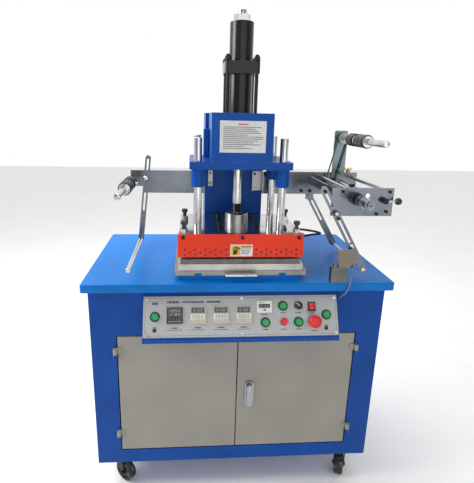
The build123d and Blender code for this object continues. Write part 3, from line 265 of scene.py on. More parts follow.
def steel_material(name, color, rough, stretch, lines=0.35, marks=0.5, tone=0.22):
    """Machined steel: tooling lines along one direction, smears and small dark marks."""
    tree = Tree(name)
    cut = tree.noise(700, 3, 0.5, stretch)
    smear = tree.noise(14, 6, 0.62)
    base = two_tone(tree, smear, color, tone)
    base = tree.mix(tree.ramp(cut, 0.35, 0.65, 0.0, 0.30), base, tint(color, 0.55))
    spots = tree.ramp(tree.noise(95, 7, 0.7), 0.66, 0.74, 0.0, marks)
    base = tree.mix(spots, base, (0.10, 0.075, 0.055))
    tree.join(base, tree.shader.inputs["Base Color"])
    gloss = tree.ramp(smear, 0.25, 0.75, rough * 0.75, rough * 1.35)
    tree.join(gloss, tree.shader.inputs["Roughness"])
    tree.shader.inputs["Metallic"].default_value = 1.0
    tree.bumps((cut, lines, 0.00008), (tree.noise(30, 3), 0.08, 0.0004))
    return tree.material


def chrome_material(name, color, rough=0.10):
    """Hard chrome: fine turning rings, faint smears and a little dirt."""
    tree = Tree(name)
    smear = tree.noise(26, 6, 0.6)
    base = tree.mix(tree.ramp(smear, 0.35, 0.75, 0, 1), color, tint(color, 0.72))
    dirt = tree.ramp(tree.noise(140, 6, 0.7), 0.64, 0.72, 0.0, 0.35)
    base = tree.mix(dirt, base, (0.16, 0.14, 0.12))
    tree.join(base, tree.shader.inputs["Base Color"])
    gloss = tree.ramp(smear, 0.3, 0.7, rough * 0.7, rough * 1.9)
    tree.join(gloss, tree.shader.inputs["Roughness"])
    tree.shader.inputs["Metallic"].default_value = 1.0
    tree.bumps((tree.noise(1400, 2), 0.12, 0.00003))
    return tree.material


def plastic_material(name, color, rough, grain=0.2, tone=0.12, dust=0.12):
    """Moulded plastic or rubber: fine grain, patchy sheen and dust in the low spots."""
    tree = Tree(name)
    patch = tree.noise(30, 5, 0.6)
    base = two_tone(tree, patch, color, tone)
    film = tree.ramp(tree.noise(75, 7, 0.7), 0.52, 0.72, 0.0, dust)
    base = tree.mix(film, base, (0.46, 0.44, 0.40))
    tree.join(base, tree.shader.inputs["Base Color"])
    gloss = tree.ramp(patch, 0.3, 0.7, rough - 0.07, rough + 0.12)
    tree.join(gloss, tree.shader.inputs["Roughness"])
    tree.bumps((tree.noise(900, 3, 0.6), grain, 0.00015))
    return tree.material


def speckle_material(name, first, second, rough, metal):
    """Printed metallic film: fine light and dark specks under a satin lacquer."""
    tree = Tree(name)
    specks = tree.ramp(tree.noise(1500, 2, 0.6), 0.36, 0.62, 0, 1)
    base = tree.mix(specks, first, second)
    cloud = tree.ramp(tree.noise(9, 4), 0.3, 0.7, 0.0, 0.18)
    base = tree.mix(cloud, base, tint(first, 0.8))
    tree.join(base, tree.shader.inputs["Base Color"])
    gloss = tree.ramp(tree.noise(60, 4), 0.3, 0.7, rough - 0.08, rough + 0.1)
    tree.join(gloss, tree.shader.inputs["Roughness"])
    tree.shader.inputs["Metallic"].default_value = metal
    tree.bumps((tree.noise(1500, 2), 0.1, 0.00005))
    return tree.material


def glow_material(name, color, strength):
    """Lit digits and lamps, with a faint unevenness."""
    tree = Tree(name)
    base = tree.mix(tree.ramp(tree.noise(900, 3), 0.3, 0.7, 0, 1), tint(color, 0.8), color)
    tree.join(base, tree.shader.inputs["Base Color"])
    tree.join(base, tree.shader.inputs["Emission Color"])
    tree.shader.inputs["Emission Strength"].default_value = strength
    tree.join(tree.ramp(tree.noise(300, 3), 0, 1, 0.25, 0.45), tree.shader.inputs["Roughness"])
    return tree.material


GROUND = (0.50, 0.49, 0.47)
ALONG_X, ALONG_Y, EVEN = (0.04, 1, 1), (1, 0.04, 1), (1, 1, 1)

BLUE = paint_material("blue_enamel", (0.0001, 0.058, 0.30), coat=0.03)
# Lighter, more cyan copy of the blue enamel for the tabletop and the table bed: painted light,
# standing for the window light on their tops.
LIT_TABLE_BLUE = paint_material("table_enamel_painted_lit", (0.0001, 0.15, 0.50), rough=0.42, peel=0.18, coat=0.04)
DOOR_GREY = paint_material(
    "door_enamel", (0.30, 0.282, 0.255), rough=0.48, peel=0.7, coat=0.05, tone=0.07
)
GUARD_RED = paint_material("guard_enamel", (0.72, 0.035, 0.008), rough=0.3, tone=0.10)
BEIGE = paint_material("switch_enamel", (0.21, 0.18, 0.135), rough=0.42, tone=0.12)
TANK_GREY = paint_material("tank_enamel", (0.13, 0.16, 0.19), rough=0.4)
SILVER = speckle_material("panel_film", (0.29, 0.30, 0.31), (0.57, 0.58, 0.59), 0.5, 0.35)
PLATE = speckle_material("notice_film", (0.50, 0.50, 0.50), (0.66, 0.66, 0.66), 0.42, 0.4)
STEEL_X = steel_material("ground_steel_x", GROUND, 0.30, ALONG_X)
STEEL_Y = steel_material("ground_steel_y", GROUND, 0.30, ALONG_Y)
DARK_STEEL = steel_material("dark_steel", (0.20, 0.22, 0.25), 0.24, (0.05, 1, 1), lines=0.2)
MIRROR_STEEL = steel_material(
    "polished_steel", (0.55, 0.55, 0.54), 0.09, (1, 0.05, 1), lines=0.08, marks=0.3
)
TABLE_STEEL = steel_material("table_steel", (0.30, 0.29, 0.27), 0.34, ALONG_X, marks=0.8)
HEAT_STEEL = steel_material(
    "heated_steel", (0.30, 0.23, 0.17), 0.42, (0.05, 1, 1), marks=0.9, tone=0.35
)
ZINC = steel_material("zinc_plate", (0.42, 0.43, 0.42), 0.36, EVEN, lines=0.15, tone=0.3)
DARK_ZINC = steel_material("dark_zinc", (0.17, 0.17, 0.165), 0.40, EVEN, lines=0.15, tone=0.3)
CHROME = chrome_material("hard_chrome", (0.66, 0.67, 0.68))
COLLAR_BLACK = plastic_material("collar_plastic", (0.010, 0.010, 0.011), 0.34, dust=0.03)
SHADE_CHROME = chrome_material("shaded_chrome", (0.25, 0.28, 0.33), 0.2)
BRASS = chrome_material("brass", (0.62, 0.42, 0.14), 0.22)
BLACK_METAL = paint_material(
    "black_enamel", (0.010, 0.010, 0.012), rough=0.22, worn=(0.14, 0.14, 0.15), coat=0.4
)
BLACK_OXIDE = steel_material(
    "black_oxide", (0.035, 0.035, 0.038), 0.36, EVEN, lines=0.2, marks=0.2
)
BLACK_PLASTIC = plastic_material("black_plastic", (0.014, 0.014, 0.015), 0.35)
RUBBER = plastic_material("black_rubber", (0.016, 0.016, 0.016), 0.62, 0.35, dust=0.25)
TYRE = plastic_material("tyre_rubber", (0.020, 0.020, 0.021), 0.68, 0.45, dust=0.55)
HUB = plastic_material("wheel_hub", (0.05, 0.05, 0.052), 0.45, dust=0.3)
PAD = plastic_material("silicone_pad", (0.13, 0.12, 0.105), 0.6, 0.3, tone=0.25, dust=0.35)
ROLLER = plastic_material("roller_rubber", (0.34, 0.33, 0.30), 0.55, 0.25)
BOARD = plastic_material("insulating_board", (0.42, 0.30, 0.17), 0.75, 0.5, tone=0.2)
GREEN_BELT = plastic_material("belt_rubber", (0.010, 0.16, 0.055), 0.42, 0.15)
GREEN = plastic_material("green_cap", (0.010, 0.30, 0.085), 0.24, 0.06, dust=0.05)
DARK_GREEN = plastic_material("green_bezel", (0.004, 0.045, 0.022), 0.30, 0.08, dust=0.05)
RED = plastic_material("red_cap", (0.62, 0.010, 0.012), 0.26, 0.06, dust=0.04)
WHITE = plastic_material("white_plastic", (0.70, 0.69, 0.66), 0.38, 0.1, dust=0.2)
CREAM = plastic_material("cream_plastic", (0.52, 0.46, 0.37), 0.40, 0.12, dust=0.15)
GREY_PLASTIC = plastic_material("grey_plastic", (0.17, 0.175, 0.18), 0.42, 0.15)
LCD = plastic_material("lcd_window", (0.055, 0.060, 0.058), 0.16, 0.02, dust=0.03)
INK = plastic_material("black_ink", (0.012, 0.012, 0.015), 0.5, 0.05, dust=0.0)
BLUE_INK = plastic_material("blue_ink", (0.008, 0.03, 0.20), 0.5, 0.05, dust=0.0)
RED_INK = plastic_material("red_ink", (0.50, 0.03, 0.03), 0.5, 0.05)
YELLOW_INK = plastic_material("yellow_ink", (0.62, 0.40, 0.03), 0.5, 0.05)
PALE_GLOW = glow_material("pale_digits", (0.50, 0.55, 0.58), 0.30)
LATCH_METAL = steel_material("latch_metal", (0.36, 0.38, 0.40), 0.28, (1, 1, 0.05), lines=0.1)


# ---- building blocks ---------------------------------------------------------------
def basis(x_axis, y_axis, z_axis, place):
    """Local millimetres to the layout frame, from three axes and an origin."""
    turn = Matrix((Vector(x_axis), Vector(y_axis), Vector(z_axis))).transposed().to_4x4()
    return Matrix.Translation(Vector(place)) @ turn


def upright(x, y, z):
    """Local Z points up, local X to the right."""
    return basis((1, 0, 0), (0, 1, 0), (0, 0, 1), (x, y, z))


def facing_front(x, y, z):
    """Local Z points to the front, local Y up."""
    return basis((1, 0, 0), (0, 0, 1), (0, -1, 0), (x, y, z))


def facing_right(x, y, z):
    """Local Z points to the right, local Y up."""
    return basis((0, 1, 0), (0, 0, 1), (1, 0, 0), (x, y, z))


def turned_by(degrees, axis):
    return Matrix.Rotation(math.radians(degrees), 4, axis)


def on_panel(across, down, height=0.0):
    """Local frame on the control panel, from its left edge and its top edge."""
    left, top, start, thick = -295.0, -34.0, 16, 2.5
    y0 = CAB_FRONT - start * SIN - thick * COS
    z0 = top - start * COS + thick * SIN
    place = (left + across, y0 - down * SIN - height * COS, z0 - down * COS + height * SIN)
    return basis((1, 0, 0), (0, SIN, COS), (0, -COS, SIN), place)


class Piece:
    """Gathers shapes in the layout frame and turns them into one object."""

    def __init__(self, name, *materials):
        self.name = name
        self.materials = materials
        self.mesh = bmesh.new()

    def faces(self, points, loops, place, slot, smooth=False):
        """Adds points in the local frame, and faces as loops of their numbers."""
        verts = [self.mesh.verts.new(row(place @ Vector(p))) for p in points]
        for loop in loops:
            face = self.mesh.faces.new([verts[i] for i in loop])
            face.material_index = slot
            face.smooth = smooth

    def box(self, size, place, slot=0, centre=(0, 0, 0)):
        """A block of the size given, about a centre in the local frame."""
        half = [s / 2 for s in size]
        points = [
            (centre[0] + half[0] * i, centre[1] + half[1] * j, centre[2] + half[2] * k)
            for i in (-1, 1) for j in (-1, 1) for k in (-1, 1)
        ]
        loops = [
            (0, 1, 3, 2), (4, 6, 7, 5), (0, 4, 5, 1), (2, 3, 7, 6), (0, 2, 6, 4), (1, 5, 7, 3),
        ]
        self.faces(points, loops, place, slot)

    def prism(self, outline, low, high, place, slot=0):
        """Outline drawn anticlockwise in local XY."""
        count = len(outline)
        points = [(x, y, low) for x, y in outline] + [(x, y, high) for x, y in outline]
        loops = [tuple(reversed(range(count))), tuple(range(count, 2 * count))]
        for i in range(count):
            j = (i + 1) % count
            loops.append((i, j, count + j, count + i))
        self.faces(points, loops, place, slot)

    def lathe(self, profile, place, slot=0, sides=48):
        """Profile of (radius, height) pairs turned about local Z. Returns the piece."""
        points, rings = [], []
        for radius, height in profile:
            if radius < 1e-6:
                rings.append([len(points)])
                points.append((0, 0, height))
                continue
            rings.append(list(range(len(points), len(points) + sides)))
            for step in range(sides):
                angle = 2 * math.pi * step / sides
                points.append((radius * math.cos(angle), radius * math.sin(angle), height))
        loops = []
        for lower, upper in zip(rings, rings[1:]):
            for step in range(sides):
                after = (step + 1) % sides
                if len(lower) == 1:
                    loops.append((lower[0], upper[after], upper[step]))
                elif len(upper) == 1:
                    loops.append((lower[step], lower[after], upper[0]))
                else:
                    loops.append((lower[step], lower[after], upper[after], upper[step]))
        for end, ring in ((0, rings[0]), (1, rings[-1])):
            if len(ring) > 1:
                loops.append(tuple(ring) if end else tuple(reversed(ring)))
        self.faces(points, loops, place, slot, smooth=True)
        return self

    def done(self, body, *replaced, bevel=0.0):
        """Makes the object, which rides a body and may stand for CAD nodes."""
        data = bpy.data.meshes.new(self.name)
        bmesh.ops.recalc_face_normals(self.mesh, faces=self.mesh.faces)
        self.mesh.to_mesh(data)
        self.mesh.free()
        thing = bpy.data.objects.new(self.name, data)
        bpy.context.scene.collection.objects.link(thing)
        for material in self.materials:
            data.materials.append(material)
        round_off(thing, bevel)
        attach(thing, body)
        if replaced:
            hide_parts(*replaced)


def round_off(thing, bevel):
    """Smooth shading with crisp edges, and a rounding on them of bevel millimetres."""
    thing.data.set_sharp_from_angle(angle=SHARP_EDGE)
    if bevel:
        rounding = thing.modifiers.new("rounding", "BEVEL")
        rounding.width = bevel / 1000
        rounding.segments = 2
        rounding.limit_method = "ANGLE"
        rounding.angle_limit = BEVEL_EDGE
        rounding.harden_normals = True


def finish(name, *rules, bevel=0.0):
    """Gives a CAD node its materials. The first is for all faces, and each later
    (material, test) pair takes over the faces whose centre passes its test."""
    thing = nodes[name]
    data = thing.data
    data.materials.clear()
    tests = []
    for rule in rules:
        material, test = rule if isinstance(rule, tuple) else (rule, None)
        data.materials.append(material)
        tests.append(test)
    for face in data.polygons:
        centre = layout(face.center)
        face.use_smooth = True
        face.material_index = 0
        for index, test in enumerate(tests):
            if test and test(centre):
                face.material_index = index
    round_off(thing, bevel)


def reach(centre, x, z):
    """Distance from an axis along Y."""
    return math.hypot(centre.x - x, centre.z - z)


def words(piece, place_at, line, slot, seed, height, gap):
    """A row of small blocks that stands for print, with no letters in it."""
    chance = random.Random(seed)
    across, down, length = line
    position = across
    while position < across + length:
        size = min(chance.uniform(2.2, 6.5), across + length - position)
        if size > 0.8:
            piece.box((size, height, 0.12), place_at(position + size / 2, down), slot)
        position += size + gap


# ---- plain CAD nodes ---------------------------------------------------------------
finish("tabletop", LIT_TABLE_BLUE)
finish("cabinet_shell", BLUE, bevel=0.6)
finish("control_panel", SILVER, bevel=0.4)
finish("head_plate", BLUE, bevel=0.6)
finish("cylinder_body", BLACK_METAL, bevel=0.6)
finish("tie_rods", BLACK_OXIDE, bevel=0.3)
finish("guide_posts", CHROME)
finish("guard", GUARD_RED)
finish("ram_bolts", BLACK_OXIDE, bevel=0.4)
finish("ram_plate", MIRROR_STEEL)
finish("table_bed", LIT_TABLE_BLUE, bevel=0.6)
finish("slide_plate", TABLE_STEEL, (CHROME, lambda c: c.y < -243.2), bevel=0.4)
finish("work_plate", STEEL_X, bevel=0.4)
finish("work_pad", PAD, bevel=0.8)
finish(
    "left_arm",
    DARK_STEEL,
    (STEEL_X, lambda c: 61.9 < c.y < 72.1 and c.z < 236.1),
    bevel=0.4,
)
finish("left_swing_bar", DARK_STEEL, (CHROME, lambda c: c.y < 49.0), bevel=0.4)
finish("nip_roller", CHROME, bevel=0.3)
finish("drive_belt", GREEN_BELT)
finish("upright_arm", DARK_STEEL, bevel=0.4)
finish("drive_motor", BLACK_METAL, (ZINC, lambda c: c.y < 97.0), bevel=0.5)
finish("sensor_bracket", DARK_ZINC, bevel=0.3)
finish(
    "sensor_box",
    BEIGE,
    (BLACK_PLASTIC, lambda c: c.x > 336 and -262.5 < c.y < -253.5 and c.z < 61),
    bevel=0.3,
)
finish("power_unit", TANK_GREY, bevel=0.6)
finish("control_gear", GREY_PLASTIC, (ZINC, lambda c: c.y > 222.5), bevel=0.5)
finish("mains_gland", BLACK_PLASTIC, bevel=0.4)
finish("frame_screws", BLACK_OXIDE, (CHROME, lambda c: c.z < 0), bevel=0.3)
finish(
    "press_frame",
    BLUE,
    (ZINC, lambda c: 17 < c.y < 39.9 and 231 < c.z < 303 and abs(c.x) > 60),
    (BLACK_OXIDE, lambda c: 31 < c.y < 36.9 and c.z > 232 and reach(c, 75, 292) < 4.6),
    bevel=0.8,
)
finish(
    "heater_block",
    HEAT_STEEL,
    (BOARD, lambda c: c.z > 117.01),
    (STEEL_X, lambda c: c.z < 88.01),
    (BLACK_PLASTIC, lambda c: c.x > 180.1),
    bevel=0.4,
)
finish(
    "piston_rod",
    CHROME,
    (STEEL_Y, lambda c: c.z > 495 or math.hypot(c.x - RAM_AXIS[0], c.y - RAM_AXIS[1]) > 15),
    bevel=0.4,
)
finish("levelling_screws", BLACK_PLASTIC, (CHROME, lambda c: c.z < 160.1), bevel=0.4)
finish("stroke_adjuster", CHROME, bevel=0.4)
finish("left_door", DOOR_GREY, bevel=0.4)
finish(
    "right_door",
    DOOR_GREY,
    (LATCH_METAL, lambda c: abs(c.x - 42) < 16 and abs(c.z + 404) < 50 and c.y < -243.6),
    bevel=0.4,
)
finish("door_latch", LATCH_METAL, bevel=0.8)
finish("caster_mounts", ZINC, bevel=0.4)
TRAIL, AXLE_Z, HUB_REACH = 28, -742.5, 28.5
for corner, turn, x, y in (
    ("front_left", -128.0, -404, -176), ("front_right", 160.0, 404, -176),
    ("rear_left", 180.0, -404, 190), ("rear_right", 180.0, 404, 190),
):
    angle = math.radians(turn)
    axle = Vector((x - TRAIL * math.sin(angle), y + TRAIL * math.cos(angle), AXLE_Z))
    hub = (HUB, lambda c: (c - axle).length < HUB_REACH)
    finish("wheel_" + corner, TYRE, hub, bevel=0.4)
    if corner.startswith("front"):
        finish("fork_" + corner, BLACK_OXIDE, bevel=0.4)
finish(
    "supply_shaft",
    CHROME,
    (COLLAR_BLACK, lambda c: reach(c, *SUPPLY_AXIS) > SHAFT_REACH),
    (GREY_PLASTIC, lambda c: -104.1 < c.y < -87.9 and reach(c, *SUPPLY_AXIS) < SHAFT_REACH),
    bevel=0.3,
)
finish(
    "rewind_shaft",
    CHROME,
    (COLLAR_BLACK, lambda c: reach(c, *REWIND_AXIS) > SHAFT_REACH and c.y < 0),
    (ZINC, lambda c: c.y > 20),
    bevel=0.3,
)
finish(
    "drive_roller",
    ROLLER,
    (ZINC, lambda c: c.y > 17),
    (SHADE_CHROME, lambda c: c.y < -226.5),
    (DARK_STEEL, lambda c: -262.1 < c.y < -242.1 or -317.9 < c.y < -276.1),
    bevel=0.3,
)
finish(
    "winder_frame",
    DARK_STEEL,
    (STEEL_Y, lambda c: -229.9 < c.y < 43.9 and c.x > 300),
    bevel=0.4,
)
finish(
    "right_swing_frame",
    DARK_STEEL,
    (CHROME, lambda c: -233 < c.y < 49 and c.z < 60),
    (BLACK_PLASTIC, lambda c: c.y < -239.6 and reach(c, *SWING_PIVOT) < 8.2),
    bevel=0.4,
)
finish(
    "pressure_lever",
    CHROME,
    (BLACK_PLASTIC, lambda c: c.x > 456),
    (BLACK_OXIDE, lambda c: c.x < 438),
    bevel=0.3,
)


# ---- control panel -----------------------------------------------------------------
GREENS = {
    "start_button_left": (35.4, 60.2), "start_button_right": (562.0, 60.0),
    "feed_button": (427.0, 32.0), "heat_button": (371.0, 81.0), "reset_button": (474.0, 81.0),
}
CAP = [
    (0, -9), (10.6, -9), (11, -8.5), (11, 6.6), (10.4, 8.0), (8.6, 8.6), (7.8, 8.1), (7.2, 7.4),
    (0, 7.2),
]
COLLAR = [
    (11.4, 0), (15, 0), (15, 3.0), (14.2, 4.6), (12.6, 5.2), (11.6, 4.8), (11.4, 4.0), (11.4, 0),
]
STOP_COLLAR = [(11.4, 0), (17, 0), (17, 3), (15.5, 5), (11.4, 5), (11.4, 0)]
BARREL = [(11.4, -15), (12.4, -15), (12.4, 0), (11.4, 0), (11.4, -15)]
bezels = Piece("panel_collars", DARK_GREEN, CHROME, BLACK_PLASTIC)
for name, place in GREENS.items():
    Piece(name + "_cap", GREEN).lathe(CAP, on_panel(*place)).done(name, name)
    bezels.lathe(COLLAR, on_panel(*place), 0)
stop_cap = Piece("stop_button_cap", RED)
stop_cap.lathe(CAP, on_panel(*STOP_BUTTON_AT)).done("stop_button", "stop_button")
bezels.lathe(COLLAR, on_panel(*STOP_BUTTON_AT), 1)
bezels.lathe(COLLAR, on_panel(*SELECTOR_AT), 1)
bezels.lathe(STOP_COLLAR, on_panel(*EMERGENCY_AT), 2)
for place in [*GREENS.values(), STOP_BUTTON_AT, SELECTOR_AT, EMERGENCY_AT]:
    bezels.lathe(BARREL, on_panel(*place), 2)
    bezels.box((27, 30, 24), on_panel(*place), 2, (0, 0, -27.5))
rim = on_panel(*ROCKER_AT)
# The rocker's frame: each side's centre and size, and the size of the wall behind it.
for x, y, wide, high, wall_wide, wall_high in (
    (-10.3, 0, 3.4, 29, 1.7, 26.1), (10.3, 0, 3.4, 29, 1.7, 26.1),
    (0, 13, 17.4, 3, 17.4, 1.4), (0, -13, 17.4, 3, 17.4, 1.4),
):
    bezels.box((wide, high, 3.2), rim, 2, (x, y, 1.6))
    bezels.box((wall_wide, wall_high, 20), rim, 2, (x * 0.9, y * 0.93, -10))
bezels.box((20, 26, 2), rim, 2, (0, 0, -21))
bezels.done("frame", "button_bezels", bevel=0.3)

stop = Piece("mushroom_head", RED, BLACK_PLASTIC)
stop.lathe(
    [(0, -9), (8, -9), (8, 12), (15, 12.4), (18.4, 13.6), (19.5, 15.6), (19.3, 18.4), (17.8, 21.4),
     (14.8, 23.6), (10, 24.6), (0, 25)],
    on_panel(*EMERGENCY_AT),
)
for step in range(3):
    spot = on_panel(*EMERGENCY_AT) @ turned_by(120 * step, "Z")
    stop.prism([(-2.0, 8.6), (3.2, 10.4), (-2.0, 12.2)], 24.0, 24.55, spot, 0)
stop.done("emergency_stop", "emergency_stop", bevel=0.3)

knob = Piece("selector_grip", BLACK_PLASTIC, WHITE)
turned = on_panel(*SELECTOR_AT) @ turned_by(45, "Z")
knob.lathe(
    [(0, -9), (8, -9), (8, 5.6), (12.6, 5.6), (13, 6.2), (12.6, 8.6), (11.6, 9.2), (0, 9.4)],
    turned,
)
knob.prism([(-4, -12), (4, -12), (3.2, 11), (0, 12.8), (-3.2, 11)], 9, 19, turned, 0)
knob.box((2.0, 11.5, 0.5), turned, 1, (0, 5.6, 19.1))
knob.done("selector_knob", "selector_knob", bevel=0.7)

rocker = Piece("rocker_paddle", RED, WHITE)
tilted = on_panel(*ROCKER_AT, -1) @ turned_by(-8, "X")
rocker.prism(
    [(-1.5, -10.8), (5.8, -10.8), (6.5, -10.2), (4.9, 0), (6.5, 10.2), (5.8, 10.8), (-1.5, 10.8)],
    -8.1, 8.1, tilted @ basis((0, 0, 1), (0, 1, 0), (-1, 0, 0), (0, 0, 0)),
)
rocker.box((0.8, 4.6, 0.3), tilted, 1, (0, 5.5, 5.9))
rocker.lathe(
    [(1.9, 0), (2.5, 0), (2.5, 0.35), (1.9, 0.35), (1.9, 0)],
    tilted @ Matrix.Translation((0, -5.6, 5.6)), 1, 24,
)
rocker.done("rocker_switch", "rocker_switch", bevel=0.3)


def digit(piece, value, place, size, slot):
    """One seven-segment figure, size millimetres high."""
    lit = {"0": "abcdef", "1": "bc", "2": "abged", "5": "afgcd", "8": "abcdefg"}[value]
    bars = {
        "a": (0, 1, 1), "g": (0, 0, 1), "d": (0, -1, 1),
        "f": (-1, 0.5, 0), "b": (1, 0.5, 0), "e": (-1, -0.5, 0), "c": (1, -0.5, 0),
    }
    for key in lit:
        x, y, flat = bars[key]
        wide, high = (size * 0.36, size * 0.10) if flat else (size * 0.10, size * 0.36)
        piece.box((wide, high, 0.25), place, slot, (x * size * 0.24, y * size * 0.46, 0))


def figures(piece, text, base, start, pitch, level, height, size):
    """A row of lit figures on an instrument's face."""
    for step, value in enumerate(text):
        spot = base @ Matrix.Translation((start + pitch * step, level, height))
        digit(piece, value, spot, size, 2)


meters = Piece("panel_meters", BLACK_PLASTIC, LCD, PALE_GLOW, CREAM, WHITE, GREY_PLASTIC, INK)
FACE_Z, BODY = 2.5, (44.5, 44.5, 60)

# Temperature controller: two rows of figures, four lamps and four keys.
controller = on_panel(95, 57)
meters.box((48, 48, 5), controller, 0, (0, 0, FACE_Z))
meters.box((43, 25, 0.6), controller, 1, (0, 8.5, 5.2))
figures(meters, "2050", controller, -12, 8, 14.0, 5.6, 7.0)
figures(meters, "2100", controller, -12, 8, 3.6, 5.6, 7.0)
for step in range(4):
    meters.box((8, 5, 1.2), controller, 5, (-15 + 10 * step, -17.5, 5.4))
    meters.box((2.4, 1.4, 0.5), controller, 2, (-15 + 10 * step, -9.5, 5.2))
meters.box(BODY, controller, 0, (0, 0, -30.2))

# Three timers: a dark window, two rows of keys and two larger keys below.
for across in (164.5, 234.5, 304.5):
    timer = on_panel(across, 56.5)
    meters.box((48, 51, 5), timer, 3, (0, 0, FACE_Z))
    meters.box(BODY, timer, 3, (0, 0, -30.2))
    meters.box((42, 18, 0.8), timer, 5, (0, 14.5, 5.2))
    meters.box((37, 13.5, 0.5), timer, 1, (0, 14.5, 5.6))
    figures(meters, "0150", timer, -10.5, 7, 14.5, 5.9, 7.0)
    meters.box((42, 16, 1.0), timer, 4, (0, -5.0, 5.2))
    for step in range(4):
        x = -13.5 + 9 * step
        meters.box((6.6, 4.6, 1.6), timer, 3, (x, -1.2, 5.9))
        meters.box((6.6, 4.6, 1.6), timer, 3, (x, -8.4, 5.9))
        meters.box((4.4, 1.0, 0.3), timer, 6, (x, -4.8, 5.8))
    for x in (-11, 11):
        meters.box((15, 4.6, 1.0), timer, 3, (x, -18.2, 5.3))

# Counter: one row of figures and a reset key.
counter = on_panel(369, 34)
meters.box((46, 36, 5), counter, 4, (0, 0, FACE_Z))
meters.box((42, 32, 45), counter, 4, (0, 0, -22.7))
meters.box((34, 11.5, 0.8), counter, 6, (0, 2.5, 5.2))
figures(meters, "001820", counter, -12.5, 5, 2.5, 5.7, 5.4)
meters.box((7, 4, 2.2), counter, 0, (0, -9.5, 5.2))
meters.box((15, 1.2, 0.2), counter, 6, (-8, 13.2, 5.1))
meters.done("frame", "panel_instruments", bevel=0.35)


def panel_face(across, down):
    return on_panel(across, down, 0.06)


print_work = Piece("panel_print", INK, BLUE_INK)
for across, down, wide, high in (
    (299, 5.5, 586, 0.7), (299, 116.5, 586, 0.7), (6, 61, 0.7, 111), (592, 61, 0.7, 111),
):
    print_work.box((wide, high, 0.1), on_panel(across, down), 0, (0, 0, 0.05))
words(print_work, panel_face, (72, 17.5, 38), 0, 3, 7.5, 2.2)
words(print_work, panel_face, (118, 17.5, 66), 1, 4, 6.0, 1.6)
words(print_work, panel_face, (192, 17.5, 42), 0, 5, 5.5, 1.6)
for index, across in enumerate((95, 164.5, 234.5, 304.5)):
    words(print_work, panel_face, (across - 10, 94, 20), 0, 10 + index, 3.2, 1.0)
    words(print_work, panel_face, (across - 21, 100, 42), 0, 20 + index, 1.6, 0.9)
for index, (across, down) in enumerate((
    (369, 58), (427, 53), (474.6, 53), (517, 55), (371, 102), (428, 102), (474, 102), (522, 108),
)):
    words(print_work, panel_face, (across - 9, down, 18), 0, 30 + index, 2.4, 0.8)
for across in (35, 560):
    palm = panel_face(across, 99)
    print_work.prism([(-5, -7), (4, -7), (6, -1), (6, 3), (-6, 3), (-6, -3)], 0, 0.1, palm)
    for step, finger in enumerate((4.4, 6, 6, 4.4)):
        print_work.box((1.8, finger, 0.1), palm, 0, (-4.6 + 3.1 * step, 6, 0.05))
words(print_work, panel_face, (27, 21, 18), 1, 50, 8.0, 1.4)
print_work.done("frame")

screws = Piece("panel_screw_slots", BLACK_OXIDE)
for across, down in ((9, 9), (299, 8), (589, 9), (9, 113), (299, 114), (589, 113)):
    for turn in (20, 110):
        screws.box((4.6, 0.9, 0.2), on_panel(across, down, 2.5) @ turned_by(turn, "Z"))
screws.done("frame")


# ---- plates and labels -------------------------------------------------------------
def notice_face(across, down):
    return facing_front(-68 + across, -191.2, 476 - down)


def guard_face(across, down):
    return facing_front(-33 + across, -239.75, 114 - down)


notice = Piece("notice_plate", PLATE, INK, RED_INK, CHROME)
notice.box((137, 92, 1.0), facing_front(0.5, -190.5, 430))
words(notice, notice_face, (54, 10, 30), 2, 61, 4.4, 1.4)
for line, length in enumerate((112, 96, 104, 110, 74, 118, 118, 104, 92, 112, 60, 84)):
    words(notice, notice_face, (10, 18 + 5.6 * line, length), 1, 70 + line, 2.1, 1.2)
for x in (-64, 65):
    for z in (388, 472):
        rivet = [(0, 0), (2.2, 0), (2.0, 0.8), (0, 1.2)]
        notice.lathe(rivet, facing_front(x, -191, z), 3, 20)
notice.done("frame", bevel=0.2)

label = Piece("guard_label", WHITE, INK, YELLOW_INK)
label.box((68, 37, 0.6), facing_front(1, -239.3, 95.5), 0)
label.box((27, 31, 0.2), facing_front(-17, -239.7, 95.5), 2)
label.box((34, 7, 0.2), facing_front(15.5, -239.7, 107.5), 2)
words(label, guard_face, (34, 6.5, 28), 1, 81, 3.0, 1.2)
for line, length in enumerate((31, 28, 30, 22)):
    words(label, guard_face, (33, 13.5 + 5 * line, length), 1, 82 + line, 1.8, 1.0)
hand = facing_front(-17, -239.85, 94)
label.prism([(-8, -11), (2, -11), (6, -3), (6, 2), (-6, 3)], 0, 0.15, hand, 1)
for step in range(4):
    finger = hand @ turned_by(12 - 9 * step, "Z")
    label.box((2.2, 8.5, 0.15), finger, 1, (-4.6 + 3.2 * step, 6.5, 0.1))
label.box((20, 3.2, 0.15), hand @ turned_by(-18, "Z"), 1, (2, 11.5, 0.1))
label.done("ram", bevel=0.1)

# ---- screws, nuts and turned details -----------------------------------------------
SOCKET = [(0, 2.2), (2.6, 2.2), (2.8, 4.4), (4.4, 4.4), (4.8, 4.0), (4.8, 0), (0, 0)]
heads = Piece("cap_screws", BLACK_OXIDE)
for y, places in (
    (35.6, ((-83.5, 293), (-83.5, 257))),
    (-234, ((445, 278), (440, 217), (278, 211), (300, 278), (410, 210))),
    (44, ((-118, 285), (-118, 236))),
    (38, ((380, 300), (380, 322))),
):
    for x, z in places:
        heads.lathe(SOCKET, facing_front(x, y, z), 0, 32)
heads.done("frame", bevel=0.15)

nut = Piece("wing_nut", BRASS)
spot = upright(418, 47, 299)
nut.lathe([(0, 0), (8, 0), (7, 6), (5.5, 11), (0, 11)], spot, 0, 32)
for side in (-1, 1):
    wing = [(side * x, y) for x, y in ((4, 3), (12, 9), (15, 17), (12, 19), (7, 14), (4, 9))]
    nut.prism(wing[::side], -1.5, 1.5, spot @ facing_front(0, 0, 0))
nut.lathe([(0, 0), (3, 0), (3, 16), (2.4, 17), (0, 17)], spot, 0, 20)
nut.done("frame", bevel=0.6)

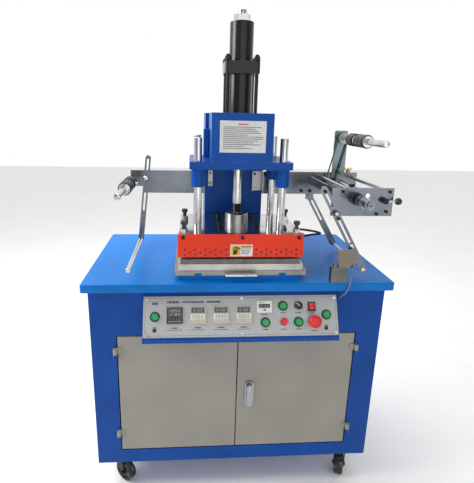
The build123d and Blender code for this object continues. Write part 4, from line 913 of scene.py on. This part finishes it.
knobs = Piece("winder_knob", BLACK_PLASTIC, CHROME)
spot = upright(347, -179, 277)
knobs.lathe([(0, 0), (4, 0), (4, 6), (0, 6)], spot, 1, 24)
knobs.lathe([(0, 6), (8, 6), (9.5, 8), (9.5, 15), (8, 17), (0, 17.6)], spot, 0, 32)
knobs.lathe([(0, 0), (3.4, 0), (3.4, 5), (0, 5)], upright(347, -179, 272.6), 1, 24)
knobs.done("frame", bevel=0.2)
bridge = Piece("winder_bridge", DARK_STEEL)
bridge.box((52, 22, 4), upright(347, -179, 275))
bridge.box((10, 22, 8), upright(322, -179, 279))
bridge.done("frame", bevel=0.4)

rings = Piece("drive_hand_wheel_rings", CHROME, BLACK_OXIDE)
x, z = DRIVE_AXIS
for y in (-245, -249, -253, -257, -260.5):
    rings.lathe(
        [(18.0, -0.8), (18.7, -0.8), (18.7, 0.8), (18.0, 0.8), (18.0, -0.8)],
        facing_front(x, y, z), 1,
    )
for y, wide in ((-286, 4), (-296, 3)):
    rings.lathe([(14, 0), (15.2, 0), (15.2, wide), (14, wide), (14, 0)], facing_front(x, y, z), 0)
rings.box((9, 2.2, 1.0), facing_front(x, -331.6, z), 1)
rings.done("drive_roller")

for name, (x, z) in (("supply", SUPPLY_AXIS), ("rewind", REWIND_AXIS)):
    trims = Piece(name + "_collar_trims", COLLAR_BLACK, CHROME)
    for y in (-46, -64, -82, -111, -141, -171):
        trims.lathe(
            [(19.8, -1.6), (20.6, -1.2), (20.9, 0), (20.6, 1.2), (19.8, 1.6), (19.8, -1.6)],
            facing_front(x, y, z), 0,
        )
    trims.lathe(
        [(15.0, -3), (17.2, -3), (17.2, 3), (15.0, 3), (15.0, -3)], facing_front(x, -96, z), 1
    )
    trims.lathe([(0, 0), (9.2, 0), (8.0, 3.0), (0, 4.2)], facing_front(x, -300, z), 1)
    trims.lathe([(2.4, 0), (4, 0), (4, 9), (2.4, 10), (0, 10)], facing_right(x + 19, -74, z), 1, 20)
    trims.done(name + "_shaft")

swing = Piece("swing_pivots", CHROME, BLACK_PLASTIC)
swing.lathe([(0, 0), (9, 0), (9, 2), (6, 5.5), (0, 6)], facing_front(-310, 38.9, 271), 0, 32)
swing.done("left_swing_bar")
clamp = Piece("right_clamp", WHITE, CHROME, BLACK_OXIDE)
x, z = SWING_PIVOT
clamp.lathe([(0, 0), (5.4, 0), (5, 1.2), (0, 1.4)], facing_front(x, -251.6, z), 0, 32)
PIN = [(0, 0), (7.5, 0), (7.5, 2.5), (5, 4), (0, 4.2)]
LEAN = math.radians(30)
for along, y, profile, slot in (
    (-120, -239.6, PIN, 1), (-210, -239.6, PIN, 1),
    (76, -239.5, SOCKET, 2), (-20, -239.5, SOCKET, 2),
):
    spot = facing_front(x - along * math.sin(LEAN), y, z + along * math.cos(LEAN))
    clamp.lathe(profile, spot, slot, 32)
clamp.done("right_swing_frame", bevel=0.15)

rear = Piece("column_rear_cover", BLUE, CHROME)
rear.box((176, 2.0, 420), upright(0, 241, 250))
for x in (-80, 0, 80):
    for z in (48, 452):
        spot = facing_front(x, 242, z) @ turned_by(180, "X")
        rear.lathe([(0, 0), (4.2, 0), (3.6, 1.6), (0, 2.4)], spot, 1, 24)
rear.done("frame", bevel=0.5)

# Thread on the piston rod, above its flange.
threads = Piece("rod_thread", BLACK_OXIDE)
for step in range(13):
    low = 178.5 + 2.4 * step
    turn = [(14.0, low), (14.7, low + 1.2), (14.0, low + 2.4)]
    threads.lathe(turn, upright(*RAM_AXIS, 0), 0, 40)
threads.done("ram")

# Grommet where the heater cable goes through the tabletop.
grommet = Piece("tabletop_grommet", RUBBER)
grommet.lathe(
    [(12.5, -8), (15.9, -8), (15.9, 0.1), (20, 0.1), (20.6, 1.2), (19.6, 2.6), (14, 3.0),
     (12.5, 1.6), (12.5, -8)],
    upright(*CABLE_HOLE, 0),
)
grommet.done("frame")

# Foot pads, washers and hexagon heads that hold the column to the tabletop.
bolts = Piece("column_foot_bolts", CHROME, BLUE)
for x in (-118, 118):
    for y in (70, 140, 210):
        bolts.box((24, 26, 8), upright(x - math.copysign(3, x), y, 4), 1)
        bolts.lathe([(0, 0), (9, 0), (9, 1.6), (0, 1.6)], upright(x, y, 8), 0, 32)
        bolts.lathe([(0, 0), (6.6, 0), (6.6, 5.4), (5.8, 6), (0, 6)], upright(x, y, 9.6), 0, 6)
bolts.done("frame", bevel=0.4)


# ---- cables ------------------------------------------------------------------------
def cable(name, points, radius, material, body, node):
    """A round cord through its control points, standing for one CAD node."""
    data = bpy.data.curves.new(name, "CURVE")
    data.dimensions = "3D"
    data.bevel_depth = radius / 1000
    data.bevel_resolution = 6
    data.use_fill_caps = True
    spline = data.splines.new("NURBS")
    spline.points.add(len(points) - 1)
    for control, point in zip(spline.points, points):
        control.co = (*row(point), 1)
    spline.order_u = 3
    spline.use_endpoint_u = True
    spline.resolution_u = 16
    data.materials.append(material)
    thing = bpy.data.objects.new(name, data)
    bpy.context.scene.collection.objects.link(thing)
    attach(thing, body)
    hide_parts(node)


cable(
    "heater_lead",
    [(193, -24, 104), (225, -24, 104), (258, -25, 101), (290, -22, 95), (315, -10, 86),
     (325, 14, 76), (313, 37, 67), (292, 52, 60), (275, 70, 48), (267, 90, 24),
     (266, 99, -10), (266.5, 98, -58), (266, 99, -106)],
    4.0, RUBBER, "ram", "heater_cable",
)
cable(
    "sensor_lead",
    [(341, -258, 47.4), (343, -261, 34), (341, -267, 20), (337, -273.5, 7), (332, -277.5, -8),
     (327, -278, -24), (321, -272, -38), (316, -262, -49), (313, -252, -57), (312, -244.2, -61)],
    1.8, GREY_PLASTIC, "frame", "sensor_cable",
)

# ---- floor -------------------------------------------------------------------------
tree = Tree("pale_floor")
tree.join(
    tree.mix(tree.ramp(tree.noise(3, 3), 0.3, 0.7, 0, 1), (0.93, 0.93, 0.92), (0.96, 0.96, 0.95)),
    tree.shader.inputs["Base Color"],
)
tree.shader.inputs["Roughness"].default_value = 0.7
floor_data = bpy.data.meshes.new("floor")
floor_data.from_pydata([(-9, -9, 0), (9, -9, 0), (9, 9, 0), (-9, 9, 0)], [], [(0, 1, 2, 3)])
floor_data.materials.append(tree.material)
floor = bpy.data.objects.new("floor", floor_data)
bpy.context.scene.collection.objects.link(floor)
